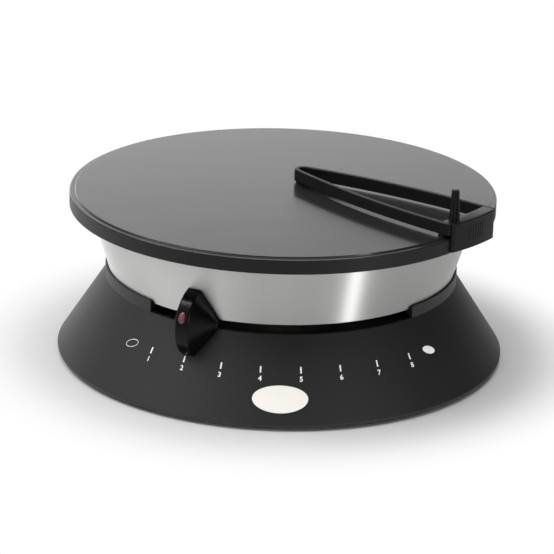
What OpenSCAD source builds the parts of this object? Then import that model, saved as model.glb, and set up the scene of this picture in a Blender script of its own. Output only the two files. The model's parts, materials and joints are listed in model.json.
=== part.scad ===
// Electric crepe maker: a round griddle on a flared steel band and a plastic base,
// with a swinging thermostat lever and a batter spreader that rides round the rim.
// Z is up, the bench is z = 0, the griddle's axis is the Z axis and the front is -Y.
// An azimuth is the angle from the front, positive towards +X.

/* [Griddle] */
// Diameter of the griddle over its rim
plate_d = 350; // [330:1:370]
// Thickness of the griddle inside its rim
plate_t = 7; // [6:0.5:9]
// Height of the raised cooking disc above the shoulder
disc_step = 1.15; // [0.8:0.05:1.6]
// Width of the shoulder round the cooking disc
shoulder_w = 4.7; // [3:0.1:6]
// Height of the griddle's outer side
rim_h = 11.85; // [10:0.05:14]
// Thickness of the hanging rim
rim_t = 7; // [5:0.5:9]
// Rounding of the rim's edges
edge_r = 0.8; // [0.4:0.1:1.2]
// Depth of the blind fixing holes under the griddle
blind_h = 4; // [3:0.5:5]

/* [Steel band] */
// Gap between the band's top and the griddle's rim
band_gap = 7.9; // [7:0.1:12]
// Growth of the band's radius for each millimetre of height
band_flare = 0.3; // [0.24:0.01:0.34]
// Height of the band
band_h = 59.35; // [54:0.05:66]
// Thickness of the band's sheet
band_t = 0.9; // [0.7:0.1:1.2]
// Width of the band's upper flange, under the griddle
flange_w = 10; // [9:0.5:12]
// Width of the band's lower return flange
return_w = 4.5; // [3.5:0.5:5]

/* [Base shell] */
// Diameter of the base
base_d = 369.6; // [366:0.2:390]
// Height of the base shell
base_h = 72.5; // [68:0.5:80]
// Height of the upright collar on top of the base
collar_h = 9.9; // [9:0.1:11]
// Thickness of the collar
collar_t = 1.7; // [1.4:0.1:2]
// Gap between the collar and the band
collar_gap = 0.35; // [0.3:0.05:0.6]
// Thickness of the base's wall
shell_t = 2.8; // [2.2:0.1:3.4]
// Height of the upright lip at the foot of the base
lip_h = 2; // [1:0.5:3]
// Depth to which the band stands in the collar
band_lap = 3.15; // [2.5:0.05:4]
// Thickness of the ledge that carries the band
ledge_t = 2.4; // [2:0.1:3]
// Thickness of the ribs under the ledge
rib_t = 3; // [2:0.5:4]
// Height of the ribs under the ledge
rib_h = 10.4; // [10:0.2:14]

/* [Bottom cover and feet] */
// Height of the base's edge above the bench
foot_gap = 3.3; // [2.5:0.1:5]
// Depth of the cover inside the base's edge
cover_inset = 1.5; // [1:0.1:3]
// Thickness of the bottom cover
cover_t = 2.5; // [2:0.1:3.5]
// Number of cover screws
cover_screw_n = 5; // [5:1:5]
// Diameter of a rubber foot
foot_d = 22; // [18:1:26]
// Width of a vent slot in the cover
vent_w = 4; // [3:0.5:5]
// Length of a vent slot in the cover
vent_l = 30; // [20:1:40]
// Number of vent slots
vent_n = 24; // [12:4:30]

/* [Lever] */
// Azimuth of the lever at rest
lever_az = -27.2; // [-40:0.1:40]
// Half of the lever slot's angle
slot_half = 45.8; // [40:0.1:50]
// Width of the lever's steel arm
arm_w = 10; // [8:0.5:11]
// Thickness of the lever's steel arm
arm_t = 3; // [2:0.25:3.5]
// Radius of the knob's round nose
knob_r = 29.6; // [28:0.1:32]
// Thickness of the knob's nose
knob_t = 10.8; // [10:0.1:12]
// Reach of the nose beyond the collar
knob_out = 26.7; // [24:0.1:29]
// Width of the knob's root at the slot
root_w = 36.6; // [30:0.2:40]
// Gap between the knob and the walls behind it
knob_gap = 0.6; // [0.4:0.1:1]
// Height of the pilot lens above the arm
lens_up = 10.5; // [9:0.1:12]
// Width of the pilot lens
lens_w = 6; // [5:0.1:7]
// Height of the pilot lens
lens_h = 9; // [8:0.1:10]
// Diameter of the thermostat's spindle
spindle_d = 6; // [5:0.5:8]
// Radial running clearance of the spindle
run_gap = 0.05; // [0.02:0.01:0.08]

/* [Spreader] */
// Height of the spreader's walls above the griddle
wall_top = 11.7; // [10:0.1:14]
// Thickness of the spreader's walls
wall_t = 4; // [3:0.1:5]
// Greatest width of the spreader's frame
frame_w = 60; // [56:1:66]
// Radius of the frame's rounded tip
tip_r = 8; // [7:0.1:9]
// Gap between the walls and the griddle, which sets the batter's thickness
batter_gap = 2.2; // [1.5:0.1:3]
// Azimuth in which the frame points from its tip
frame_az = 49; // [40:0.5:60]
// Distance of the frame's tip from the griddle's axis
tip_off = 24.4; // [15:0.1:28]
// Azimuth of the frame's tip
tip_az = 135.8; // [125:0.1:145]
// Step from each wall's outer face in to the rim guide's end
guide_step = 3; // [2:0.1:3.5]
// Depth of the guide's body inside its hook
guide_in = 9.6; // [9:0.1:12]
// Thickness of the guide's hook
hook_t = 2.4; // [2:0.1:4]
// Depth of the hook below the cooking disc
hook_drop = 12; // [9:0.5:14]
// Least gap between the hook and the rim
hook_gap = 0.3; // [0.25:0.05:0.6]
// Corner radius of the guide
guide_r = 2.5; // [1.5:0.1:3]
// Height of the finger peg above the guide
peg_h = 25.7; // [20:0.1:30]
// Width of the finger peg at its foot
peg_w = 10; // [8:0.1:11]
// Diameter of the peg's spigot
spigot_d = 5; // [4:0.2:5.2]

/* [Heating] */
// Diameter of the heating element's sheath
tube_d = 8; // [6.5:0.5:9]
// Distance of the element's outer ring from the reflector's wall
ring_inset = 16; // [14:1:20]
// Distance between the element's two rings
ring_pitch = 46; // [40:1:50]
// Angle that the element's rings cover
ring_angle = 320; // [310:1:322]
// Number of clamps that hold the element
clamp_n = 5; // [5:1:5]
// Thickness of a clamp
clamp_t = 2; // [1.5:0.5:3]
// Diameter of a clamp stud
stud_d = 5; // [4:0.5:6]
// Thickness of sheet steel inside
sheet_t = 0.8; // [0.6:0.1:1.2]
// Thickness of the insulation mat
mat_t = 4.5; // [3:0.5:5]
// Depth of the reflector below the griddle
pan_h = 22; // [21.5:0.5:26]
// Diameter of a tie rod
rod_d = 6; // [5:0.5:8]
// Radius on which the tie rods stand
rod_pos = 60; // [50:1:68]

/* [Thermostat and wiring] */
// Width of the thermostat's body
body_w = 40; // [36:1:46]
// Depth of the thermostat's body
body_l = 30; // [26:1:34]
// Height of the thermostat's body
body_h = 20; // [18:1:22]
// Diameter of the thermostat's sensing rod
probe_d = 10; // [8:0.5:12]
// Thickness of the chassis plate
chassis_t = 1.5; // [1:0.25:2.5]
// Width of the terminal block
block_w = 44; // [40:1:50]
// Diameter of an internal lead
lead_d = 3; // [2:0.25:3.5]
// Diameter of the cord's passage through the gland
cord_d = 7.5; // [6:0.1:8.5]
// Diameter of the gland's barrel
gland_d = 14; // [12:0.5:15]

/* [Badge] */
// Width of the oval badge
badge_w = 43.8; // [36:0.2:50]
// Height of the oval badge along the slope
badge_h = 22; // [18:0.2:26]
// Thickness of the badge
badge_t = 0.8; // [0.5:0.1:1.2]
// Height of the badge's middle above the bench
badge_z = 22.6; // [20:0.1:30]

/* [Hidden] */
eps = 0.01;
plate_r = plate_d / 2;
disc_r = plate_r - shoulder_w;
base_r = base_d / 2;

// Levels, from the bench up
z_edge = foot_gap;
z_lip = z_edge + lip_h;
z_collar = z_edge + base_h;
z_crease = z_collar - collar_h;
z_band = z_collar - band_lap;
z_seat = z_band + band_h;
z_disc = z_seat + plate_t;
z_shoulder = z_disc - disc_step;
z_rim = z_shoulder - rim_h;
z_cover = z_edge + cover_inset;
z_floor = z_cover + cover_t;
z_rib = z_band - ledge_t - rib_h;
z_chassis = z_rib - chassis_t;

// Walls of revolution
band_top_r = plate_r - rim_t - band_gap;
band_low_r = band_top_r - band_flare * band_h;
collar_in = band_low_r + band_flare * band_lap + collar_gap;
collar_r = collar_in + collar_t;
slope = (base_r - collar_r) / (z_crease - z_lip);
wall_x = shell_t * sqrt(1 + slope * slope);
ledge_in = band_low_r - return_w - 0.5;
function band_r(z) = band_low_r + band_flare * (z - z_band);
function cone_r(z) = base_r - slope * (z - z_lip);

// Fixings under the griddle
flange_in = band_top_r - flange_w;
rim_screw_n = 6;
rim_screw_d = 4;
screw_head_r = 0.9 * rim_screw_d;
rim_screw_pos = flange_in + screw_head_r + 0.3;
lip_r = band_top_r - 2;
pan_r = flange_in - 2;
ring_out = pan_r - ring_inset;
ring_in = ring_out - ring_pitch;
ring_mid = (ring_out + ring_in) / 2;
hairpin_r = ring_pitch / 2;
ring_start = 98;
bend_r = 10;
z_tube = z_seat - tube_d / 2;
z_clamp = z_seat - tube_d - clamp_t;
clamp_w = 14;
nut_h = 4;
z_pan = z_seat - pan_h;
z_under = z_pan - sheet_t;
terminal_drop = 12;
z_terminal = z_under - terminal_drop;
pin_d = 3;
pin_l = 10;
rod_angles = [0, 90, 180];
centre_hole = 27;

// Thermostat, hung under the reflector
bracket_t = 1.5;
bracket_w = 20;
pillar_x = centre_hole - 6;
pillar_d = 6;
z_bracket = z_under - 2.5 - bracket_t;
z_body = z_bracket - body_h;
spindle_bite = 9.5;
tab_inset = 8;
tab_x = body_w / 2 - tab_inset;
tab_l = 10;
z_tab = z_body + body_h / 2;

// Lever
arm_lift = 2.1;
z_arm = z_crease + arm_lift;
z_mid = z_arm + arm_t / 2;
hub_r = 9;
hub_spigot = 5;
hub_nut_h = 4;
bush_h = 5;
z_bush = z_rib + bush_h;
knob_c = collar_r + knob_out - knob_r;
knob_edge = 0.8;
root_h = 3.4;
arm_end = collar_r + 12;
lens_depth = 4;
lamp_r = 2.4;
lamp_l = 9;
z_lens = z_mid + lens_up;
lens_face = knob_c + sqrt(knob_r * knob_r - lens_up * lens_up);
lamp_front = lens_face - lens_depth - 1.5;

// Spreader: the hook's radius about the frame's tip, from its near end's gap to the rim
guide_half = frame_w / 2 - guide_step;
near_cos = cos(tip_az - frame_az + asin(guide_half / plate_r));
hook_r = -tip_off * near_cos
    + sqrt(pow(plate_r + hook_gap, 2) - pow(tip_off, 2) * (1 - pow(near_cos, 2)));
guide_in_r = hook_r - guide_in;
guide_out_r = hook_r + hook_t;
wall_end = hook_r - 2;
half_w = frame_w / 2;
bow_r = (pow(guide_in_r, 2) + pow(half_w, 2) - pow(tip_r, 2)) / (2 * (half_w - tip_r));
z_top = z_disc + wall_top;
z_wall = z_disc + batter_gap;
peg_u = hook_r - 4.7;
peg_v = guide_half - 7.2;
peg_rib = 1.8;
peg_core = 2;
spigot_l = 6;
pad_w = 4.4;

// Cord gland, in a pad on the back of the base
pad_r = 11;
z_gland = z_floor + pad_r + 5;
pad_end = cone_r(z_gland - pad_r) + 0.5;
pad_start = cone_r(z_gland + pad_r) - wall_x - 2;
pad_l = pad_end - pad_start;
gland_flange = 2.5;
gland_nut_h = 3;

// Bottom fixings
boss_r = 4;
boss_merge = 19;
boss_pos = cone_r(z_floor + boss_merge) - wall_x;
boss_h = 30;
cover_hole = 1.6;
thread_l = 8;
foot_pos = base_r - 30;
foot_boss = 6;
foot_hole = 1.7;

// Wiring places, in front of the gland
block_inset = 44.3;
block_y = band_low_r - block_inset;
block_l = 20;
block_h = 16;
pole_x = 13;
screw_r = 2;
earth_at = [34, block_y - block_l];
fuse_y = 45;
fuse_r = 4;
fuse_l = 20;
fuse_tail = 4;
z_fuse = z_under - fuse_r;
lead_bow = 14;
lead_gap = 0.2;

// ---- helpers ----

// Copies of the children at equal angles round the axis
module ring_of(count, start = 270) {
    for (k = [0 : count - 1]) rotate([0, 0, start + k * 360 / count]) children();
}

// A tube or washer from radius r1 to radius r2
module ring(r1, r2, h, fn = 96) {
    difference() {
        cylinder(r = r2, h = h, $fn = fn);
        translate([0, 0, -1]) cylinder(r = r1, h = h + 2, $fn = fn);
    }
}

// A hexagon nut on a thread of radius r
module hex_nut(r, across, h) {
    difference() {
        cylinder(r = across / sqrt(3), h = h, $fn = 6);
        translate([0, 0, -1]) cylinder(r = r, h = h + 2, $fn = 32);
    }
}

// Points of a quarter circle, from angle a0 to a1 round c
function arc_pts(c, r, a0, a1, n = 6) =
    [for (i = [0 : n]) let (a = a0 + (a1 - a0) * i / n) [c[0] + r * cos(a), c[1] + r * sin(a)]];

// A point of the cubic curve from p0 to p3
function bez(p0, p1, p2, p3, t) =
    pow(1 - t, 3) * p0 + 3 * t * pow(1 - t, 2) * p1 + 3 * t * t * (1 - t) * p2 + pow(t, 3) * p3;
function unit(v) = v / norm(v);

// Points of the cubic curve, in equal steps, with a short straight start and end
function curve(p0, p1, p2, p3, steps = 16) =
    let (from = p0 + unit(p1 - p0), to = p3 - unit(p3 - p2))
        concat([p0], [for (i = [0 : steps]) bez(from, p1, p2, to, i / steps)], [p3]);

// A lead of diameter d along a path, as one closed solid; side points across the path's plane
module lead(path, d, side, sides = 8) {
    last = len(path) - 1;
    function along(i) = unit(path[min(i + 1, last)] - path[max(i - 1, 0)]);
    pts = [for (i = [0 : last]) let (t = along(i), a = unit(cross(t, side)), b = cross(t, a))
        for (k = [0 : sides - 1])
            path[i] + d / 2 * (a * cos(k * 360 / sides) + b * sin(k * 360 / sides))];
    skin = [for (i = [0 : last - 1]) for (k = [0 : sides - 1])
        let (j = (k + 1) % sides, low = i * sides, high = low + sides)
            each [[low + k, low + j, high + j], [low + k, high + j, high + k]]];
    polyhedron(pts, concat([[for (k = [0 : sides - 1]) sides - 1 - k]], skin,
        [[for (k = [0 : sides - 1]) last * sides + k]]), convexity = 4);
}

// ---- griddle and heating ----

module griddle_plate() {
    low = edge_r / 2;
    color([0.46, 0.47, 0.46]) difference() {
        rotate_extrude($fn = 256) polygon(concat(
            [[0, z_seat], [0, z_disc], [disc_r - 0.3, z_disc], [disc_r, z_disc - 0.3],
             [disc_r, z_shoulder]],
            arc_pts([plate_r - edge_r, z_shoulder - edge_r], edge_r, 90, 0),
            arc_pts([plate_r - low, z_rim + low], low, 0, -90, 3),
            [[plate_r - rim_t, z_rim], [plate_r - rim_t, z_seat]]));
        translate([0, 0, z_seat]) {
            under_holes(rim_screw_n, rim_screw_pos, rim_screw_d);
            under_holes(clamp_n, ring_mid, stud_d);
            for (a = rod_angles) rotate([0, 0, a]) translate([rod_pos, 0, -1])
                cylinder(d = rod_d, h = blind_h + 1, $fn = 32);
        }
    }
}

module under_holes(count, pos, d) {
    ring_of(count) translate([pos, 0, -1]) cylinder(d = d, h = blind_h + 1, $fn = 32);
}

// One end of the element: it turns down and passes the reflector
module element_end(r) {
    rotate([0, 0, ring_start]) translate([r, 0, 0]) {
        translate([0, 0, -bend_r]) rotate([90, 0, 90]) rotate([0, 0, 90])
            rotate_extrude(angle = 90, $fn = 64) translate([bend_r, 0]) circle(d = tube_d, $fn = 32);
        translate([0, -bend_r, z_terminal + 6 - z_tube])
            cylinder(d = tube_d, h = z_tube - bend_r - z_terminal - 6, $fn = 32);
    }
}

module at_element_ends() {
    for (r = [ring_out, ring_in])
        rotate([0, 0, ring_start]) translate([r, -bend_r, 0]) children();
}

module heating_element() {
    color([0.35, 0.34, 0.33]) translate([0, 0, z_tube]) {
        for (r = [ring_out, ring_in]) rotate([0, 0, ring_start])
            rotate_extrude(angle = ring_angle, $fn = 128) translate([r, 0])
                circle(d = tube_d, $fn = 32);
        rotate([0, 0, ring_start + ring_angle]) translate([ring_mid, 0, 0])
            rotate_extrude(angle = 180, $fn = 64) translate([hairpin_r, 0])
                circle(d = tube_d, $fn = 32);
        element_end(ring_out);
        element_end(ring_in);
    }
}

module element_seals() {
    color([0.92, 0.9, 0.85]) at_element_ends() translate([0, 0, z_terminal + 2])
        ring(pin_d / 2, tube_d / 2 + 0.6, 4, 32);
}

module element_pins() {
    color([0.75, 0.73, 0.68]) at_element_ends() translate([0, 0, z_terminal - 4])
        cylinder(d = pin_d, h = pin_l, $fn = 24);
}

module element_clamps() {
    reach = hairpin_r + tube_d / 2 + 3;
    color([0.7, 0.7, 0.7]) ring_of(clamp_n) translate([ring_mid, 0, z_clamp]) difference() {
        translate([-reach, -clamp_w / 2, 0]) cube([2 * reach, clamp_w, clamp_t]);
        translate([0, 0, -1]) cylinder(d = stud_d, h = clamp_t + 2, $fn = 32);
    }
}

module clamp_studs() {
    color([0.72, 0.72, 0.7]) ring_of(clamp_n) translate([ring_mid, 0, z_clamp - nut_h - 1])
        cylinder(d = stud_d, h = z_seat + blind_h - z_clamp + nut_h + 1, $fn = 32);
}

module clamp_nuts() {
    color([0.72, 0.72, 0.7]) ring_of(clamp_n) translate([ring_mid, 0, z_clamp - nut_h])
        hex_nut(stud_d / 2, stud_d * 1.6, nut_h);
}

module heat_reflector() {
    color([0.8, 0.8, 0.8]) difference() {
        rotate_extrude($fn = 128) polygon([
            [centre_hole, z_under], [pan_r, z_under],
            [pan_r, z_seat - band_t - sheet_t], [lip_r, z_seat - band_t - sheet_t],
            [lip_r, z_seat - band_t], [pan_r - sheet_t, z_seat - band_t],
            [pan_r - sheet_t, z_pan], [centre_hole, z_pan]]);
        ring_of(rim_screw_n) translate([rim_screw_pos, 0, z_seat - 10])
            cylinder(d = rim_screw_d, h = 12, $fn = 32);
        pan_holes();
    }
}

// Passages for the rods and the element's ends
module pan_holes() {
    for (a = rod_angles) rotate([0, 0, a]) translate([rod_pos, 0, z_under - 1])
        cylinder(d = rod_d + 2, h = mat_t + sheet_t + 2, $fn = 32);
    at_element_ends() translate([0, 0, z_under - 1])
        cylinder(d = tube_d + 1, h = mat_t + sheet_t + 2, $fn = 32);
}

module insulation_mat() {
    color([0.9, 0.88, 0.82]) difference() {
        translate([0, 0, z_pan]) ring(centre_hole + 1, pan_r - sheet_t, mat_t);
        pan_holes();
    }
}

module steel_band() {
    color([0.78, 0.78, 0.77]) difference() {
        rotate_extrude($fn = 256) polygon([
            [band_low_r - return_w, z_band], [band_low_r, z_band],
            [band_top_r, z_seat], [flange_in, z_seat],
            [flange_in, z_seat - band_t], [band_r(z_seat - band_t) - band_t, z_seat - band_t],
            [band_r(z_band + band_t) - band_t, z_band + band_t],
            [band_low_r - return_w, z_band + band_t]]);
        ring_of(rim_screw_n) translate([rim_screw_pos, 0, z_seat - 5])
            cylinder(d = rim_screw_d, h = 10, $fn = 32);
    }
}

module rim_screws() {
    head_z = z_seat - band_t - sheet_t;
    color([0.75, 0.75, 0.73]) ring_of(rim_screw_n) translate([rim_screw_pos, 0, 0]) {
        translate([0, 0, head_z - 2.4]) cylinder(r = screw_head_r, h = 2.4, $fn = 32);
        translate([0, 0, head_z - eps]) cylinder(d = rim_screw_d, h = z_seat + blind_h - head_z, $fn = 32);
    }
}

// ---- chassis ----

module tie_rods() {
    bottom = z_chassis - nut_h - 2;
    color([0.72, 0.72, 0.7]) for (a = rod_angles) rotate([0, 0, a])
        translate([rod_pos, 0, bottom]) cylinder(d = rod_d, h = z_seat + blind_h - bottom, $fn = 32);
}

module rod_nuts() {
    color([0.72, 0.72, 0.7]) for (a = rod_angles) rotate([0, 0, a])
        translate([rod_pos, 0, z_chassis - nut_h]) hex_nut(rod_d / 2, rod_d * 1.7, nut_h);
}

module chassis_plate() {
    color([0.68, 0.69, 0.7]) translate([0, 0, z_chassis]) difference() {
        cylinder(r = band_low_r, h = chassis_t, $fn = 128);
        for (a = rod_angles) rotate([0, 0, a]) translate([rod_pos, 0, -1])
            cylinder(d = rod_d, h = chassis_t + 2, $fn = 32);
        // Cooling windows between the ribs, and the cord's way up behind the block
        ring_of(6, 0) translate([rod_pos + 35, 0, -1]) cylinder(r = 9, h = chassis_t + 2, $fn = 48);
        translate([0, block_y + block_l, -1]) cylinder(r = 7, h = chassis_t + 2, $fn = 48);
        translate([earth_at[0], earth_at[1], -1]) cylinder(d = 4, h = chassis_t + 2, $fn = 32);
    }
}

module pivot_bush() {
    color([0.75, 0.6, 0.3]) translate([0, 0, z_rib])
        ring(spindle_d / 2 + run_gap, hub_r - 1, bush_h, 64);
}

// ---- thermostat ----

module thermostat_body() {
    color([0.9, 0.87, 0.8]) translate([0, 0, z_body]) difference() {
        translate([-body_w / 2, -body_l / 2, 0]) cube([body_w, body_l, body_h]);
        translate([0, 0, -1]) cylinder(d = spindle_d + 2 * run_gap, h = spindle_bite + 2, $fn = 64);
        translate([0, 0, body_h - 2]) cylinder(d = probe_d, h = 3, $fn = 48);
    }
}

module thermostat_tabs() {
    color([0.8, 0.65, 0.3]) for (x = [-tab_x, tab_x])
        translate([x - 3, body_l / 2, z_tab - 0.4]) cube([6, tab_l, 0.8]);
}

module sensing_rod() {
    color([0.72, 0.45, 0.3]) translate([0, 0, z_bracket - 2])
        cylinder(d = probe_d, h = z_seat - z_bracket + 2, $fn = 48);
}

module thermostat_bracket() {
    color([0.7, 0.7, 0.7]) translate([0, 0, z_bracket]) difference() {
        translate([-pillar_x - pillar_d, -bracket_w / 2, 0])
            cube([2 * (pillar_x + pillar_d), bracket_w, bracket_t]);
        translate([0, 0, -1]) cylinder(d = probe_d, h = bracket_t + 2, $fn = 48);
        for (x = [-pillar_x, pillar_x]) translate([x, 0, -1])
            cylinder(d = pillar_d - 2, h = bracket_t + 2, $fn = 32);
    }
}

module bracket_pillars() {
    color([0.72, 0.72, 0.7]) for (x = [-pillar_x, pillar_x]) translate([x, 0, z_bracket]) {
        cylinder(d = pillar_d - 2, h = bracket_t, $fn = 32);
        translate([0, 0, bracket_t]) cylinder(d = pillar_d, h = z_seat - z_bracket - bracket_t, $fn = 32);
    }
}

module thermal_fuse() {
    color([0.8, 0.8, 0.78]) translate([-fuse_l / 2, fuse_y, z_fuse]) rotate([0, 90, 0]) {
        cylinder(r = fuse_r, h = fuse_l, $fn = 48);
        translate([0, 0, -fuse_tail]) cylinder(r = 1, h = fuse_l + 2 * fuse_tail, $fn = 24);
    }
}

module fuse_clip() {
    strap = 1;
    color([0.7, 0.7, 0.7]) translate([-5, fuse_y, z_fuse]) rotate([90, 0, 90])
        linear_extrude(10) difference() {
            union() {
                circle(r = fuse_r + strap, $fn = 64);
                translate([-fuse_r - strap, 0]) square([2 * (fuse_r + strap), fuse_r]);
                translate([-fuse_r - 8, fuse_r - strap]) square([2 * (fuse_r + 8), strap]);
            }
            circle(r = fuse_r, $fn = 64);
            translate([-fuse_r, 0]) square([2 * fuse_r, fuse_r + 1]);
            translate([-fuse_r - 9, fuse_r]) square([2 * (fuse_r + 9), strap + 1]);
        }
}

// ---- wiring ----

module terminal_block() {
    color([0.92, 0.9, 0.84]) translate([0, block_y, z_rib]) difference() {
        translate([-block_w / 2, -block_l / 2, 0]) cube([block_w, block_l, block_h]);
        for (x = [-pole_x, 0, pole_x]) {
            translate([x, -block_l / 2 - 1, block_h / 2]) rotate([-90, 0, 0])
                cylinder(d = lead_d, h = block_l / 2, $fn = 32);
            translate([x, 0, block_h - 4]) cylinder(r = screw_r, h = 5, $fn = 32);
        }
    }
}

module terminal_screws() {
    color([0.78, 0.65, 0.35]) for (x = [-pole_x, 0, pole_x])
        translate([x, block_y, z_rib + block_h - 4]) cylinder(r = screw_r, h = 3.5, $fn = 32);
}

module earth_stud() {
    color([0.72, 0.72, 0.7]) translate([earth_at[0], earth_at[1], z_chassis - 3]) {
        cylinder(d = 4, h = chassis_t + 3 + 10, $fn = 32);
        cylinder(d = 8, h = 3, $fn = 32);
        translate([0, 0, 3 + chassis_t]) cylinder(d = 8, h = 3, $fn = 6);
    }
}

// The front mouth of one pole of the terminal block
function pole(x) = [x, block_y - block_l / 2, z_rib + block_h / 2];
function element_pin(r) = [
    r * cos(ring_start) + bend_r * sin(ring_start),
    r * sin(ring_start) - bend_r * cos(ring_start),
    z_terminal - 4 - lead_gap];
function tab_end(x) = [x, body_l / 2 + tab_l + lead_gap, z_tab];
function fuse_end(side) = [side * (fuse_l / 2 + fuse_tail + lead_gap), fuse_y, z_fuse];

module live_lead() {
    color([0.55, 0.3, 0.15])
        lead(curve(pole(pole_x), pole(pole_x) - [0, lead_bow, 0], tab_end(tab_x) + [0, lead_bow, 0],
            tab_end(tab_x)), lead_d, [1, 0, 0]);
}

module fuse_lead() {
    end = fuse_end(-1);
    color([0.9, 0.9, 0.88])
        lead(curve(tab_end(-tab_x), tab_end(-tab_x) + [0, lead_bow, 0], end - [lead_bow, 0, 0], end),
            lead_d - 0.5, [0.6, 0.2, -0.8]);
}

module element_lead() {
    start = fuse_end(1);
    end = element_pin(ring_out);
    color([0.9, 0.9, 0.88])
        lead(curve(start, start + [lead_bow, 0, 0], end - [0, 0, lead_bow], end), lead_d - 0.5,
            [-0.9, -0.2, 0.3]);
}

module neutral_lead() {
    end = element_pin(ring_in);
    color([0.2, 0.35, 0.6])
        lead(curve(pole(-pole_x), pole(-pole_x) - [0, 1.5 * lead_bow, 0], end - [0, 0, lead_bow], end),
            lead_d, [1, 0, 0]);
}

module earth_lead() {
    end = [earth_at[0], earth_at[1], z_rib + 3 + lead_d / 2];
    color([0.4, 0.6, 0.25])
        lead(curve(pole(0), pole(0) - [0, lead_bow, 0], end + [4, -lead_bow, 0],
            end - [0, 2 + lead_d / 2, 0]), lead_d, [0, 0, 1]);
}

// ---- base ----

// Everything inside the base's outer face
module base_solid() {
    rotate_extrude($fn = 256) polygon([
        [0, z_edge], [base_r - 0.6, z_edge], [base_r, z_lip], [collar_r, z_crease],
        [collar_r, z_collar], [0, z_collar]]);
}

module base_wall() {
    rotate_extrude($fn = 256) polygon([
        [base_r - 0.6 - wall_x, z_edge], [base_r - 0.6, z_edge], [base_r, z_lip],
        [collar_r, z_crease], [collar_r, z_collar], [collar_in, z_collar],
        [collar_in, z_band], [ledge_in, z_band], [ledge_in, z_band - ledge_t],
        [collar_in, z_band - ledge_t], [collar_in, z_crease],
        [collar_r - wall_x, z_crease - eps], [base_r - wall_x, z_lip]]);
}

module base_shell() {
    slot_d = 2 * (collar_r + 5);
    color([0.13, 0.13, 0.13]) difference() {
        union() {
            base_wall();
            intersection() {
                base_solid();
                union() {
                    for (a = [-30 : 30 : 210]) rotate([0, 0, a])
                        translate([ledge_in, -rib_t / 2, z_rib]) cube([20, rib_t, rib_h + eps]);
                    ring_of(cover_screw_n) translate([boss_pos, 0, z_floor])
                        cylinder(r = boss_r, h = boss_h, $fn = 48);
                }
            }
            translate([0, pad_start, z_gland]) rotate([-90, 0, 0])
                cylinder(r = pad_r, h = pad_l, $fn = 96);
        }
        // The lever's slot, cut down to the foot of the collar
        rotate([0, 0, 270 - slot_half]) rotate_extrude(angle = 2 * slot_half, $fn = 256)
            translate([ledge_in - 5, z_crease]) square([slot_d, collar_h + 1]);
        translate([0, pad_start - 1, z_gland]) rotate([-90, 0, 0])
            cylinder(d = gland_d, h = pad_l + 2, $fn = 64);
        ring_of(cover_screw_n) translate([boss_pos, 0, z_floor - 1])
            cylinder(r = cover_hole, h = thread_l + 2, $fn = 32);
    }
}

module bottom_cover() {
    r = cone_r(z_floor) - wall_x - 0.4;
    color([0.16, 0.16, 0.16]) difference() {
        union() {
            translate([0, 0, z_cover]) cylinder(r = r, h = cover_t, $fn = 128);
            ring_of(4, 45) translate([foot_pos, 0, z_floor - eps])
                cylinder(r = 5, h = foot_boss, $fn = 48);
        }
        ring_of(vent_n, 0) translate([rod_pos, -vent_w / 2, z_cover - 1])
            cube([vent_l, vent_w, cover_t + 2]);
        ring_of(cover_screw_n) translate([boss_pos, 0, z_cover - 1]) {
            cylinder(r = cover_hole, h = cover_t + 2, $fn = 32);
            cylinder(r = 2 * cover_hole, h = 1 + cover_t / 2, $fn = 32);
        }
        ring_of(4, 45) translate([foot_pos, 0, z_cover - 1])
            cylinder(r = foot_hole, h = cover_t + foot_boss, $fn = 32);
    }
}

module cover_screws() {
    color([0.3, 0.3, 0.3]) ring_of(cover_screw_n) translate([boss_pos, 0, z_cover + 0.2]) {
        cylinder(r = 2 * cover_hole, h = cover_t / 2 - 0.2, $fn = 32);
        cylinder(r = cover_hole, h = cover_t + thread_l - 0.2, $fn = 32);
    }
}

module rubber_feet() {
    color([0.08, 0.08, 0.08]) ring_of(4, 45) translate([foot_pos, 0, 0]) difference() {
        union() {
            cylinder(d1 = foot_d - 2, d2 = foot_d, h = 1, $fn = 64);
            translate([0, 0, 1]) cylinder(d = foot_d, h = z_cover - 1, $fn = 64);
        }
        translate([0, 0, -1]) cylinder(r = foot_hole, h = z_cover + 2, $fn = 32);
        translate([0, 0, -1]) cylinder(r = 3.6, h = 3, $fn = 32);
    }
}

module foot_screws() {
    color([0.7, 0.7, 0.7]) ring_of(4, 45) translate([foot_pos, 0, 0.6]) {
        cylinder(r = 3.6, h = 1.4, $fn = 32);
        cylinder(r = foot_hole, h = z_cover + foot_boss - 0.6, $fn = 32);
    }
}

module oval_badge() {
    tilt = atan(slope);
    color([0.95, 0.94, 0.9]) intersection() {
        difference() {
            cone_skin(badge_t);
            cone_skin(0);
        }
        translate([0, -cone_r(badge_z), badge_z]) rotate([90 - tilt, 0, 0])
            translate([0, 0, -12]) linear_extrude(20) polygon([for (a = [0 : 7.5 : 352.5])
                [badge_w / 2 * cos(a), badge_h / 2 * sin(a)]]);
    }
}

// The base's cone, grown by g at right angles to its face
module cone_skin(g) {
    x = g * sqrt(1 + slope * slope);
    translate([0, 0, z_lip]) cylinder(r1 = base_r + x, r2 = collar_r + x, h = z_crease - z_lip, $fn = 256);
}

module cord_gland() {
    barrel_l = pad_l + gland_nut_h + 2;
    color([0.1, 0.1, 0.1]) translate([0, pad_end - barrel_l, z_gland])
        rotate([-90, 0, 0]) difference() {
            union() {
                cylinder(d = gland_d, h = barrel_l, $fn = 64);
                translate([0, 0, barrel_l])
                    cylinder(d1 = gland_d + 5, d2 = gland_d + 3, h = gland_flange, $fn = 64);
            }
            translate([0, 0, -1]) cylinder(d = cord_d, h = barrel_l + gland_flange + 2, $fn = 64);
        }
}

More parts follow.
